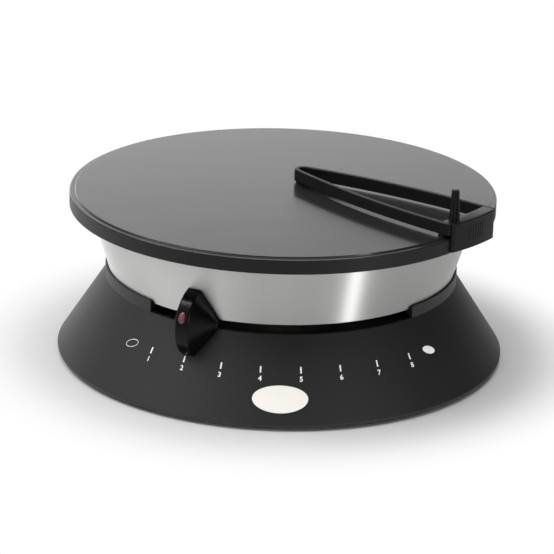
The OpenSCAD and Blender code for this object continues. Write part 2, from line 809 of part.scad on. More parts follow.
module gland_nut() {
    color([0.12, 0.12, 0.12]) translate([0, pad_start - gland_nut_h, z_gland])
        rotate([-90, 0, 0]) hex_nut(gland_d / 2, gland_d + 5, gland_nut_h);
}

// ---- lever ----

// Places a piece drawn along +X on the lever's azimuth
module on_lever() {
    rotate([0, 0, lever_az - 90]) children();
}

module thermostat_spindle() {
    color([0.75, 0.75, 0.73]) translate([0, 0, z_rib + 0.3])
        cylinder(d = spindle_d, h = z_body + spindle_bite - z_rib - 0.3, $fn = 64);
}

module lever_hub() {
    color([0.7, 0.7, 0.68]) translate([0, 0, z_bush + 0.3]) difference() {
        union() {
            cylinder(r = hub_r, h = z_arm - z_bush - 0.3, $fn = 64);
            cylinder(r = hub_spigot, h = z_arm + arm_t + hub_nut_h - z_bush - 0.3, $fn = 64);
        }
        translate([0, 0, -1]) cylinder(d = spindle_d, h = 30, $fn = 64);
    }
}

module hub_nut() {
    color([0.72, 0.72, 0.7]) translate([0, 0, z_arm + arm_t])
        hex_nut(hub_spigot, 2 * hub_r - 3, hub_nut_h - 0.5);
}

module lever_arm() {
    color([0.7, 0.7, 0.7]) on_lever() translate([0, 0, z_arm]) difference() {
        union() {
            cylinder(r = hub_r, h = arm_t, $fn = 64);
            translate([0, -arm_w / 2, 0]) cube([arm_end, arm_w, arm_t]);
        }
        translate([0, 0, -1]) cylinder(r = hub_spigot, h = arm_t + 2, $fn = 64);
    }
}

// The walls behind the knob, grown by the knob's gap
module knob_keep_out() {
    g = knob_gap;
    rotate_extrude($fn = 256) polygon([
        [0, 0], [cone_r(0) + g, 0], [collar_r + g, z_crease], [collar_r + g, z_collar],
        [band_r(z_collar) + g, z_collar], [band_r(z_seat) + g, z_seat], [0, z_seat]]);
}

module knob_blank() {
    hull() {
        translate([knob_c, 0, z_mid]) rotate([90, 0, 0]) {
            translate([0, 0, -knob_t / 2 + knob_edge])
                cylinder(r = knob_r, h = knob_t - 2 * knob_edge, $fn = 64);
            translate([0, 0, -knob_t / 2]) cylinder(r = knob_r - knob_edge, h = knob_t, $fn = 64);
        }
        translate([collar_r - 2, -root_w / 2, z_mid - root_h / 2]) cube([3, root_w, root_h]);
    }
}

// A flat oval bar along the radius, for the lens and its seat
module lens_bar(from, to) {
    rise = (lens_h - lens_w) / 2;
    translate([from, 0, z_lens]) rotate([90, 0, 90]) linear_extrude(to - from) {
        for (y = [-rise, rise]) translate([0, y]) circle(d = lens_w, $fn = 48);
        translate([-lens_w / 2, -rise]) square([lens_w, 2 * rise]);
    }
}

module lever_knob() {
    wire_w = 5;
    color([0.09, 0.09, 0.09]) on_lever() difference() {
        knob_blank();
        knob_keep_out();
        lens_bar(lens_face - lens_depth, lens_face + 5);
        translate([collar_r - 5, -arm_w / 2, z_arm]) cube([arm_end - collar_r + 5, arm_w, arm_t]);
        translate([lamp_front - lamp_l, 0, z_lens]) rotate([0, 90, 0])
            cylinder(r = lamp_r + 0.3, h = lamp_l + 4, $fn = 32);
        translate([collar_r - 5, -wire_w / 2, z_mid])
            cube([lamp_front - lamp_l + 6 - collar_r, wire_w, lens_up + 2]);
    }
}

module pilot_lens() {
    color([0.75, 0.1, 0.1]) on_lever() intersection() {
        lens_bar(lens_face - lens_depth, lens_face + 5);
        translate([knob_c, 0, z_mid]) rotate([90, 0, 0]) translate([0, 0, -knob_t / 2])
            cylinder(r = knob_r + 0.5, h = knob_t, $fn = 128);
    }
}

module pilot_lamp() {
    color([0.9, 0.6, 0.4]) on_lever() translate([lamp_front - lamp_l, 0, z_lens]) rotate([0, 90, 0])
        cylinder(r = lamp_r, h = lamp_l, $fn = 32);
}

module lamp_leads() {
    thick = 1.2;
    start = lamp_front - lamp_l;
    z_run = z_arm + arm_t + thick / 2;
    color([0.6, 0.1, 0.1]) on_lever() for (y = [-1.2, 1.2])
        lead(concat(curve([start, y, z_lens], [start - 5, y, z_lens], [start - 2, y, z_run],
            [start - 9, y, z_run]), [[hub_r + 5, y, z_run]]), thick, [0, 1, 0]);
}

// ---- spreader ----

// Places the spreader: its tip at the origin, its length along +X
module on_griddle() {
    rotate([0, 0, tip_az - 90]) translate([tip_off, 0, 0])
        rotate([0, 0, frame_az - tip_az]) children();
}

// A leaf outline with a round tip, shrunk by d
module leaf(d) {
    r = bow_r - d;
    rise = bow_r - half_w;
    tangent = -(tip_r - d) * guide_in_r / (bow_r - tip_r);
    circle(r = tip_r - d, $fn = 96);
    intersection() {
        translate([guide_in_r, -rise]) circle(r = r, $fn = 720);
        translate([guide_in_r, rise]) circle(r = r, $fn = 720);
        translate([tangent, -half_w]) square([guide_in_r + 40, frame_w]);
    }
}

module frame_walls() {
    difference() {
        intersection() {
            leaf(0);
            translate([-tip_r, -half_w]) square([wall_end + tip_r, frame_w]);
        }
        leaf(wall_t);
    }
}

// The guide's outline: a piece of ring about the tip, with round outer corners
module guide_outline() {
    corner = guide_out_r - guide_r;
    flat = guide_half - guide_r;
    difference() {
        union() {
            intersection() {
                circle(r = guide_out_r, $fn = 360);
                translate([0, -flat]) square([guide_out_r, 2 * flat]);
            }
            intersection() {
                circle(r = corner, $fn = 360);
                translate([0, -guide_half]) square([guide_out_r, 2 * guide_half]);
            }
            for (s = [-1, 1])
                translate([sqrt(pow(corner, 2) - pow(flat, 2)), s * flat]) circle(r = guide_r, $fn = 48);
        }
        circle(r = guide_in_r, $fn = 360);
    }
}

module spreader_frame() {
    color([0.1, 0.1, 0.1]) on_griddle() difference() {
        union() {
            translate([0, 0, z_wall]) linear_extrude(z_top - z_wall) {
                frame_walls();
                guide_outline();
            }
            translate([0, 0, z_disc - hook_drop]) linear_extrude(z_top - z_disc + hook_drop)
                difference() {
                    guide_outline();
                    circle(r = hook_r, $fn = 360);
                }
        }
        translate([peg_u, -peg_v, z_top - spigot_l]) cylinder(d = spigot_d, h = spigot_l + 1, $fn = 32);
    }
}

module finger_peg() {
    top_w = peg_w * 0.64;
    color([0.12, 0.12, 0.12]) on_griddle() translate([peg_u, -peg_v, z_top]) {
        translate([0, 0, -spigot_l]) cylinder(d = spigot_d, h = spigot_l + eps, $fn = 32);
        cylinder(r = peg_core, h = peg_h - 1, $fn = 32);
        for (a = [0, 90]) rotate([90, 0, a]) translate([0, 0, -peg_rib / 2])
            linear_extrude(peg_rib) polygon([[-peg_w / 2, 0], [peg_w / 2, 0],
                [top_w / 2, peg_h], [-top_w / 2, peg_h]]);
    }
}

// Low pads on which the frame slides
module glide_pads() {
    color([0.15, 0.15, 0.15]) on_griddle() translate([0, 0, z_disc]) {
        ring(tip_r - wall_t, tip_r - 1.3, batter_gap, 64);
        linear_extrude(batter_gap) intersection() {
            difference() {
                circle(r = guide_in_r + pad_w, $fn = 360);
                circle(r = guide_in_r, $fn = 360);
            }
            translate([0, -half_w]) square([guide_out_r, frame_w]);
        }
    }
}

griddle_plate();
heating_element();
element_pins();
element_seals();
element_clamps();
clamp_studs();
clamp_nuts();
heat_reflector();
insulation_mat();
steel_band();
rim_screws();
tie_rods();
rod_nuts();
chassis_plate();
thermostat_body();
thermostat_tabs();
sensing_rod();
thermostat_bracket();
bracket_pillars();
thermal_fuse();
fuse_clip();
terminal_block();
terminal_screws();
earth_stud();
live_lead();
fuse_lead();
element_lead();
neutral_lead();
earth_lead();
base_shell();
bottom_cover();
cover_screws();
rubber_feet();
foot_screws();
oval_badge();
cord_gland();
gland_nut();
pivot_bush();
thermostat_spindle();
lever_hub();
hub_nut();
lever_arm();
lever_knob();
pilot_lens();
pilot_lamp();
lamp_leads();
spreader_frame();
finger_peg();
glide_pads();
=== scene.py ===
"""The looks of an electric crepe maker: outer pieces, finishes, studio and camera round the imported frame.

Lengths are millimetres and become metres when a mesh is made, except the lamps' and the floor's, which
are metres. Z is up, the bench is z = 0, the griddle's axis is the Z axis and the front is -Y. An azimuth
is counted from the front towards +X.
"""

import json
import logging
import math
from dataclasses import dataclass, field
from enum import Enum
from typing import Any, Optional, Protocol, Sequence

import bmesh
import bpy
import numpy as np
from mathutils import Matrix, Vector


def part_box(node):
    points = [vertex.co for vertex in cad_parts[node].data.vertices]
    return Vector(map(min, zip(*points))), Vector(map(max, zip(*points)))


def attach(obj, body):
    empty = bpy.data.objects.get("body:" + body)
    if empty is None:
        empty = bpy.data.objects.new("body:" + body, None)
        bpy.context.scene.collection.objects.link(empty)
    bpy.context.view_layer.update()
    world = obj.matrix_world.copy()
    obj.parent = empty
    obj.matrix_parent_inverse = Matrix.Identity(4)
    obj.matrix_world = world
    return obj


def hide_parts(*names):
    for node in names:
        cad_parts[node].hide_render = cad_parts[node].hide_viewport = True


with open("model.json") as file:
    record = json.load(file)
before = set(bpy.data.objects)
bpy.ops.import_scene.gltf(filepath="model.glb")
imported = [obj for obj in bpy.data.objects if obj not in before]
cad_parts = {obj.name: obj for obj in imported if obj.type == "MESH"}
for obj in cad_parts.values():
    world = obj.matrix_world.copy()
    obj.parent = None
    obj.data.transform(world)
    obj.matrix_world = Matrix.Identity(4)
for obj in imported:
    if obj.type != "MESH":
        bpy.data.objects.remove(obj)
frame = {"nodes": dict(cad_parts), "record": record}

MM = 0.001
# Points closer than this, in millimetres, become one
MERGE = 0.002
# Steps of a full turn on the large round pieces
FACETS = 400
TAU = 2.0 * math.pi
LOG = logging.getLogger("crepe_maker")
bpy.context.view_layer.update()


class Body(Enum):
    """The three rigid bodies that the pieces ride on."""

    BASE = "body"
    LEVER = "lever"
    SPREADER = "spreader"


class Assembly(Protocol):
    """A sub-assembly, or a part of the studio, that builds itself."""

    def build(self) -> None:
        """Makes the pieces."""


# ---------------------------------------------------------------- shader maths


class Sock:
    """A node's output that adds Math nodes when it is used in an expression."""

    def __init__(self, shade: "Shade", out: bpy.types.NodeSocket) -> None:
        """Keeps the tree and the output socket."""
        self.shade = shade
        self.out = out

    def math(self, operation: str, *values: Any) -> "Sock":
        """A Math node on this value and others, by Blender's name of the operation."""
        links = dict(enumerate((self, *values)))
        return self.shade.node("ShaderNodeMath", {"operation": operation}, links)

    def __add__(self, other: Any) -> "Sock":
        """Sum, also reflected."""
        return self.math("ADD", other)

    def __sub__(self, other: Any) -> "Sock":
        """Difference."""
        return self.math("SUBTRACT", other)

    def __rsub__(self, other: Any) -> "Sock":
        """Difference, reflected."""
        return self.shade.node("ShaderNodeMath", {"operation": "SUBTRACT"}, {0: other, 1: self})

    def __mul__(self, other: Any) -> "Sock":
        """Product, also reflected."""
        return self.math("MULTIPLY", other)

    def __pow__(self, other: Any) -> "Sock":
        """Power."""
        return self.math("POWER", other)

    __radd__ = __add__
    __rmul__ = __mul__

    def swing(self, spread: float) -> "Sock":
        """What a value from 0 to 1 adds to a middle value: from minus to plus half the spread."""
        return (self - 0.5) * spread

    def step(self, low: float, high: float) -> "Sock":
        """A smooth step from 0 below low to 1 above high; low may be the larger one.

        Args:
            low: The value where the step starts.
            high: The value where it ends.

        Returns:
            The step, from 0 to 1.
        """
        rising = low < high
        links = {"Value": self, "From Min": min(low, high), "From Max": max(low, high),
                 "To Min": 0.0 if rising else 1.0, "To Max": 1.0 if rising else 0.0}
        return self.shade.node("ShaderNodeMapRange", {"interpolation_type": "SMOOTHSTEP"}, links)

    def window(self, start: float, full: float, fade: float, end: float) -> "Sock":
        """A smooth step up from start to full, times a smooth step down from fade to end."""
        return self.step(start, full) * self.step(end, fade)


class Shade:
    """The node tree of one material or of the world."""

    def __init__(self, tree: bpy.types.NodeTree) -> None:
        """Keeps the tree and empties it."""
        self.tree = tree
        tree.nodes.clear()

    def node(self, kind: str, settings: Optional[dict] = None, links: Optional[dict] = None,
             out: Any = 0) -> Sock:
        """Adds a node of any type.

        Args:
            kind: The node's type.
            settings: Its settings, set first.
            links: Its sockets by name or number, each with a value or a socket to link.
            out: The output to return, by name or number.

        Returns:
            The chosen output.
        """
        made = self.tree.nodes.new(kind)
        for key, value in (settings or {}).items():
            setattr(made, key, value)
        for key, value in (links or {}).items():
            if isinstance(value, Sock):
                self.tree.links.new(value.out, made.inputs[key])
            else:
                made.inputs[key].default_value = value
        return Sock(self, made.outputs[out])

    def end(self, shader: Sock, kind: str = "ShaderNodeOutputMaterial") -> None:
        """Links a shader to a new output node of the tree."""
        made = self.tree.nodes.new(kind)
        self.tree.links.new(shader.out, made.inputs["Surface"])

    def surface(self, links: dict) -> None:
        """Ends a material in a Principled shader with these sockets."""
        self.end(self.node("ShaderNodeBsdfPrincipled", links=links))

    def point(self) -> Sock:
        """The Object coordinates, in metres."""
        return self.node("ShaderNodeTexCoord", out="Object")

    def axes(self, vector: Sock) -> tuple[Sock, Sock, Sock]:
        """The X, Y and Z of a vector."""
        split = self.node("ShaderNodeSeparateXYZ", links={0: vector}).out.node
        return tuple(Sock(self, split.outputs[i]) for i in range(3))

    def vector(self, x: Any, y: Any, z: Any) -> Sock:
        """A vector from three numbers or sockets."""
        return self.node("ShaderNodeCombineXYZ", links={0: x, 1: y, 2: z})

    def stretched(self, vector: Sock, *scales: float) -> Sock:
        """A vector with each component times its own scale."""
        return self.vector(*(axis * scale for axis, scale in zip(self.axes(vector), scales)))

    def noise(self, vector: Sock, scale: float, detail: float = 2.0, rough: float = 0.5) -> Sock:
        """Noise from 0 to 1 at a frequency, with its octaves and the weight of the finer ones."""
        links = {"Vector": vector, "Scale": scale, "Detail": detail, "Roughness": rough}
        return self.node("ShaderNodeTexNoise", links=links)

    def cells(self, vector: Sock, scale: float, out: str = "Distance") -> Sock:
        """A cell pattern at a frequency: the distance to the nearest cell's middle, or its colour."""
        links = {"Vector": vector, "Scale": scale}
        return self.node("ShaderNodeTexVoronoi", {"feature": "F1"}, links, out)

    def mix(self, factor: Any, first: Any, second: Any) -> Sock:
        """A colour between two, by a factor; each is a colour or a socket."""
        ends = {key: c if isinstance(c, Sock) else (*c, 1.0) for key, c in ((6, first), (7, second))}
        return self.node("ShaderNodeMix", {"data_type": "RGBA"}, {"Factor": factor, **ends}, out=2)

    def tint(self, colour: Sequence[float], amount: Sock, depth: float) -> Sock:
        """A colour that goes from darker to lighter, by a share of itself, as a value goes from 0 to 1."""
        dark, light = (tuple(min(c * share, 1.0) for c in colour) for share in (1.0 - depth, 1.0 + depth))
        return self.mix(amount, dark, light)

    def bump(self, height: Sock, depth: float, under: Optional[Sock] = None) -> Sock:
        """A normal bumped by a height from 0 to 1 of a depth in millimetres, over another normal or none."""
        links = {"Height": height, "Distance": depth * MM, **({"Normal": under} if under else {})}
        return self.node("ShaderNodeBump", links=links)


# ---------------------------------------------------------------- finishes


Colour = tuple[float, float, float]


@dataclass(frozen=True)
class Finish:
    """A named finish that makes its material once."""

    name: str

    def material(self) -> bpy.types.Material:
        """The finish's material, made on first use.

        Returns:
            The material.
        """
        known = bpy.data.materials.get("fin_" + self.name)
        if known is not None:
            return known
        made = bpy.data.materials.new("fin_" + self.name)
        made.use_nodes = True
        self.dress(Shade(made.node_tree))
        return made

    def dress(self, s: Shade) -> None:
        """Fills the material's tree.

        Args:
            s: The empty tree.
        """
        raise NotImplementedError


@dataclass(frozen=True)
class Moulded(Finish):
    """Moulded plastic or rubber: a fine grain, slow colour drift and a satin skin."""

    colour: Colour = (0.02, 0.02, 0.02)
    rough: float = 0.42
    grain_mm: float = 0.45
    grain_depth: float = 0.012
    specular: float = 0.35
    drift: float = 0.12

    def dress(self, s: Shade) -> None:
        """Grain from two noises, with the roughness following the coarse one.

        Args:
            s: The empty tree.
        """
        p = s.point()
        coarse = s.noise(p, 28.0, 3.0)
        grain = s.noise(p, 1.0 / (self.grain_mm * MM), 2.0, 0.6)
        pores = s.cells(p, 0.7 / (self.grain_mm * MM))
        height = grain * 0.7 + pores * 0.3
        s.surface({
            "Base Color": s.tint(self.colour, coarse * 0.7 + grain * 0.3, self.drift),
            "Roughness": self.rough + coarse.swing(0.08) + grain.swing(0.10),
            "Specular IOR Level": self.specular,
            "Normal": s.bump(height, self.grain_depth),
        })


@dataclass(frozen=True)
class SeasonedIron(Finish):
    """Cast iron: a smooth seasoned cooking face with fine turning rings, and a darker coated side."""

    face: Colour = (0.0090, 0.0094, 0.0090)
    side: Colour = (0.0022, 0.0022, 0.0022)
    worn: Colour = (0.016, 0.013, 0.010)
    face_z: float = 137.6
    blend: float = 0.15
    disc_r: float = 170.3
    worn_w: float = 26.0
    ring_pitch: float = 1.1
    face_rough: float = 0.42
    side_rough: float = 0.44
    oil_rough: float = 0.145
    oil_ior: float = 1.52
    specular: float = 0.27

    def dress(self, s: Shade) -> None:
        """Blends the face over the side by height, with rings about the Z axis on the face.

        Args:
            s: The empty tree.
        """
        p = s.point()
        x, y, z = s.axes(p)
        radius = (x * x + y * y) ** 0.5
        face = z.step((self.face_z - self.blend) * MM, (self.face_z + self.blend) * MM)
        cloud = s.noise(p, 9.0, 4.0, 0.55)
        smear = s.noise(s.vector(x * 0.35, y, z), 34.0, 3.0, 0.6)
        grit = s.noise(p, 1300.0, 2.0, 0.6)
        casting = s.noise(p, 420.0, 3.0, 0.65)
        # Turning rings: waves of the radius, their phase bent a little by slow noise
        rings = (radius * (TAU / (self.ring_pitch * MM)) + cloud * 5.0).math("SINE") * 0.5 + 0.5
        worn = radius.step((self.disc_r - self.worn_w) * MM, (self.disc_r - 2.0) * MM)
        face_colour = s.mix(worn * 0.4 * smear, self.face, self.worn)
        toned = s.mix(cloud * 0.5 + grit * 0.2, face_colour, s.tint(self.face, cloud, 0.16))
        side_colour = s.tint(self.side, casting, 0.25)
        rough_face = self.face_rough + cloud.swing(0.05) + smear.swing(0.05) + grit.swing(0.06)
        rough_side = self.side_rough + casting.swing(0.12)
        fine = s.bump(rings * face * 0.5 + grit * face * 0.4, 0.0012)
        s.surface({
            "Base Color": s.mix(face, side_colour, toned),
            "Roughness": rough_face * face + rough_side * (1.0 - face),
            "Specular IOR Level": self.specular,
            "Coat Weight": face * (0.95 + smear.swing(0.10)),
            "Coat Roughness": self.oil_rough,
            "Coat IOR": self.oil_ior,
            "Normal": s.bump(casting * (1.0 - face), 0.018, fine),
        })


@dataclass(frozen=True)
class BrushedBand(Finish):
    """Stainless sheet brushed along the band: fine lines about the Z axis draw reflections upright."""

    colour: Colour = (0.60, 0.60, 0.59)
    rough: float = 0.43
    anisotropic: float = 1.0

    def dress(self, s: Shade) -> None:
        """Scratches from noise that is long round the axis and short along it.

        Args:
            s: The empty tree.
        """
        x, y, z = s.axes(s.point())
        around = y.math("ARCTAN2", x) * 0.15
        brushed = s.noise(s.vector(around * 26.0, z * 5200.0, 0.0), 1.0, 3.0, 0.7)
        lines = s.noise(s.vector(around * 60.0, z * 1500.0, 3.0), 1.0, 2.0, 0.6)
        cloud = s.noise(s.vector(around * 12.0, z * 10.0, 7.0), 1.0, 3.0, 0.5)
        s.surface({
            "Base Color": s.tint(self.colour, cloud * 0.5 + lines * 0.5, 0.05),
            "Metallic": 1.0,
            "Roughness": self.rough + lines.swing(0.08) + cloud.swing(0.04),
            "Anisotropic": self.anisotropic,
            "Anisotropic Rotation": 0.25,
            "Normal": s.bump(brushed * 0.6 + lines * 0.4, 0.0012),
        })


@dataclass(frozen=True)
class Metal(Finish):
    """Plain metal for inner pieces: turned, plated or rolled, with a mottled tone."""

    colour: Colour = (0.55, 0.55, 0.54)
    rough: float = 0.36
    mottle_mm: float = 4.0
    depth: float = 0.12
    heat: float = 0.0
    burnt: Colour = (0.10, 0.065, 0.04)

    def dress(self, s: Shade) -> None:
        """A crystal mottle, fine scratches and an optional brown heat tint.

        Args:
            s: The empty tree.
        """
        p = s.point()
        crystal = s.axes(s.cells(p, 1.0 / (self.mottle_mm * MM), "Color"))[0]
        scratch = s.noise(s.stretched(p, 40.0, 40.0, 900.0), 1.0, 3.0, 0.7)
        soot = s.noise(p, 60.0, 4.0, 0.6)
        plain = s.tint(self.colour, crystal * 0.6 + scratch * 0.4, self.depth)
        s.surface({
            "Base Color": s.mix(soot.step(0.35, 0.75) * self.heat, plain, self.burnt),
            "Metallic": 1.0,
            "Roughness": self.rough + crystal.swing(0.10) + scratch.swing(0.12),
            "Normal": s.bump(scratch, 0.004),
        })


@dataclass(frozen=True)
class Mineral(Finish):
    """Ceramic, mica or pressed fibre: pale, dry and slightly stained."""

    colour: Colour = (0.72, 0.68, 0.58)
    rough: float = 0.72
    fibre: float = 0.0

    def dress(self, s: Shade) -> None:
        """Specks and stains, with stretched strands where it is fibre.

        Args:
            s: The empty tree.
        """
        p = s.point()
        stain = s.noise(p, 55.0, 4.0, 0.6)
        strands = s.noise(s.stretched(p, 1400.0, 320.0, 1400.0), 1.0, 4.0, 0.7)
        specks = s.noise(p, 1500.0, 2.0, 0.5)
        height = strands * self.fibre + specks * (1.0 - self.fibre)
        s.surface({
            "Base Color": s.tint(self.colour, stain * 0.6 + height * 0.4, 0.18),
            "Roughness": self.rough + height.swing(0.15),
            "Specular IOR Level": 0.3,
            "Normal": s.bump(height, 0.02 + 0.25 * self.fibre),
        })


@dataclass(frozen=True)
class Ink(Finish):
    """Off-white print: even, with the faint mottle that a pad leaves."""

    colour: Colour = (0.95, 0.95, 0.93)

    def dress(self, s: Shade) -> None:
        """A thin mottle in tone and gloss.

        Args:
            s: The empty tree.
        """
        mottle = s.noise(s.point(), 900.0, 3.0, 0.6)
        s.surface({
            "Base Color": s.tint(self.colour, mottle, 0.05),
            "Roughness": 0.55 + mottle.swing(0.2),
            "Specular IOR Level": 0.3,
            "Normal": s.bump(mottle, 0.004),
        })


@dataclass(frozen=True)
class Enamel(Finish):
    """The bare badge: cream enamel under a clear coat, with a fine orange-peel skin."""

    colour: Colour = (0.93, 0.91, 0.845)

    def dress(self, s: Shade) -> None:
        """Slow tone drift, tiny specks and a gently waved coat.

        Args:
            s: The empty tree.
        """
        p = s.point()
        drift = s.noise(p, 70.0, 2.0)
        peel = s.noise(p, 480.0, 2.0, 0.5)
        specks = s.noise(p, 2600.0, 1.0)
        s.surface({
            "Base Color": s.tint(self.colour, drift * 0.7 + specks * 0.3, 0.03),
            "Roughness": 0.42 + peel.swing(0.1),
            "Coat Weight": 0.35,
            "Coat Roughness": 0.12,
            "Normal": s.bump(peel, 0.006),
        })


@dataclass(frozen=True)
class Lens(Finish):
    """A red pilot lens: deep at its edge, with a painted glow that is lighter over the lamp, and a prism
    pattern.
    """

    deep: Colour = (0.055, 0.005, 0.008)
    # The lighter red of the painted glow, where the lamp's light is painted into the colour
    lit: Colour = (0.15, 0.018, 0.026)
    centre: tuple[float, float, float] = (0.0, 0.0, 0.0)
    reach: float = 4.0
    facet_mm: float = 1.3

    def dress(self, s: Shade) -> None:
        """A painted glow, lighter by distance from the lens's middle, cut by small facets.

        Args:
            s: The empty tree.
        """
        p = s.point()
        x, y, z = s.axes(p)
        cx, cy, cz = (c * MM for c in self.centre)
        away = ((x - cx) ** 2.0 + (y - cy) ** 2.0 + ((z - cz) * 0.75) ** 2.0) ** 0.5
        # Painted glow: the lamp sits behind the upper half, so only that half is painted lighter and the
        # lower half stays deep
        upper = z.step(cz - 4.0 * MM, cz + 2.0 * MM)
        painted_glow = away.step(self.reach * MM, 0.3 * self.reach * MM) * upper
        facet = s.cells(p, 1.0 / (self.facet_mm * MM))
        s.surface({
            "Base Color": s.mix(painted_glow * (0.45 + facet), self.deep, self.lit),
            "Roughness": 0.16 + facet * 0.08,
            "Coat Weight": 0.6,
            "Coat Roughness": 0.05,
            "Normal": s.bump(facet, 0.05),
        })


@dataclass(frozen=True)
class Glass(Finish):
    """The pilot lamp's glass, faintly amber with a hazy skin."""

    colour: Colour = (0.9, 0.72, 0.6)

    def dress(self, s: Shade) -> None:
        """Haze in tone and gloss.

        Args:
            s: The empty tree.
        """
        haze = s.noise(s.point(), 700.0, 2.0)
        s.surface({
            "Base Color": s.tint(self.colour, haze, 0.1),
            "Roughness": 0.08 + haze * 0.12,
            "Transmission Weight": 0.8,
            "IOR": 1.5,
        })


SHELL = Moulded("shell", (0.0086, 0.0091, 0.0086), 0.54, 0.5, 0.007, 0.40)
HANDLE = Moulded("handle", (0.0024, 0.0024, 0.0026), 0.22, 0.5, 0.004, 0.10)
SPREADER = Moulded("spreader", (0.0075, 0.0075, 0.0075), 0.34, 0.4, 0.005, 0.13)
COVER = Moulded("cover", (0.018, 0.018, 0.018), 0.55, 0.8, 0.03, 0.3)
RUBBER = Moulded("rubber", (0.014, 0.014, 0.014), 0.72, 0.6, 0.02, 0.25)
IRON = SeasonedIron("seasoned_iron")
BAND = BrushedBand("brushed_band")
ZINC = Metal("zinc", (0.60, 0.60, 0.58), 0.34, 1.2)
SHEET = Metal("sheet", (0.58, 0.58, 0.58), 0.40, 6.0, 0.16)
HOT_SHEET = Metal("hot_sheet", (0.55, 0.54, 0.52), 0.42, 6.0, 0.16, heat=0.5)
SHEATH = Metal("sheath", (0.16, 0.15, 0.145), 0.5, 1.5, 0.25, heat=0.7)
BRASS = Metal("brass", (0.66, 0.47, 0.20), 0.34, 1.4)
COPPER = Metal("copper", (0.60, 0.31, 0.20), 0.38, 1.6, heat=0.3)
BLACKENED = Metal("blackened", (0.07, 0.07, 0.07), 0.42, 1.0)
CERAMIC = Mineral("ceramic")
FIBRE = Mineral("fibre", (0.70, 0.66, 0.56), 0.9, fibre=0.8)
INK = Ink("ink")
ENAMEL = Enamel("enamel")
LAMP_GLASS = Glass("lamp_glass")


def sleeve(name: str, colour: Colour) -> Moulded:
    """The finish of a lead's silicone sleeve, from its name and colour."""
    return Moulded("sleeve_" + name, colour, rough=0.5, grain_mm=0.25, grain_depth=0.01, specular=0.4)


SLOT_FINISH: dict[str, Finish] = {
    "griddle_iron": IRON, "band_steel": BAND, "black_shell": SHELL, "black_handle": HANDLE,
    "spreader_plastic": SPREADER, "cover_plastic": COVER, "foot_rubber": RUBBER, "gland_rubber": RUBBER,
    "zinc_steel": ZINC, "sheet_steel": SHEET, "dark_screw": BLACKENED, "element_sheath": SHEATH,
    "ceramic": CERAMIC, "mineral_wool": FIBRE, "brass": BRASS, "copper": COPPER, "lamp_glass": LAMP_GLASS,
    "badge_cream": ENAMEL, "lead_brown": sleeve("brown", (0.13, 0.05, 0.025)),
    "lead_white": sleeve("white", (0.72, 0.72, 0.69)), "lead_blue": sleeve("blue", (0.03, 0.09, 0.30)),
    "lead_green": sleeve("green", (0.10, 0.30, 0.05)), "lead_red": sleeve("red", (0.30, 0.03, 0.02)),
}
NODE_FINISH: dict[str, Finish] = {"heat_reflector": HOT_SHEET, "element_clamps": HOT_SHEET}


# ---------------------------------------------------------------- meshes


def xyz(x: Any, y: Any, z: Any) -> np.ndarray:
    """Points from three coordinates that broadcast together, as a new last axis."""
    return np.stack(np.broadcast_arrays(x, y, z), -1)


def circle(steps: int) -> np.ndarray:
    """Angles of a full turn in equal steps, in radians, the last one short of the first."""
    return np.linspace(0.0, TAU, steps + 1)[:-1]


def full_turn(steps: int) -> np.ndarray:
    """Azimuths of a full turn in equal steps, in degrees, the last one short of the first."""
    return np.arange(steps) * 360.0 / steps


def add_object(name: str, data: bpy.types.ID) -> bpy.types.Object:
    """Adds an object at the origin to the scene.

    Args:
        name: The object's name.
        data: Its mesh, text, light or camera.

    Returns:
        The object.
    """
    made = bpy.data.objects.new(name, data)
    bpy.context.scene.collection.objects.link(made)
    return made


def aimed(azimuth: float, u: Any, v: Any, z: Any, origin: tuple[float, float] = (0.0, 0.0)) -> np.ndarray:
    """Turns points of a piece's own frame to its azimuth.

    A point (u, v) goes to x = x0 + u sin a + v cos a and y = y0 - u cos a + v sin a.

    Args:
        azimuth: The azimuth a of the frame's outward direction, in degrees.
        u: Distances outwards.
        v: Distances to the left.
        z: Heights.
        origin: The frame's origin, x0 and y0.

    Returns:
        The points.
    """
    s, c = math.sin(math.radians(azimuth)), math.cos(math.radians(azimuth))
    return xyz(origin[0] + u * s + v * c, origin[1] - u * c + v * s, z)


def arc(radius: float, angles: np.ndarray) -> np.ndarray:
    """Points (r cos a, r sin a) of a circle about the origin, as (n, 2)."""
    return radius * np.stack([np.cos(angles), np.sin(angles)], 1)


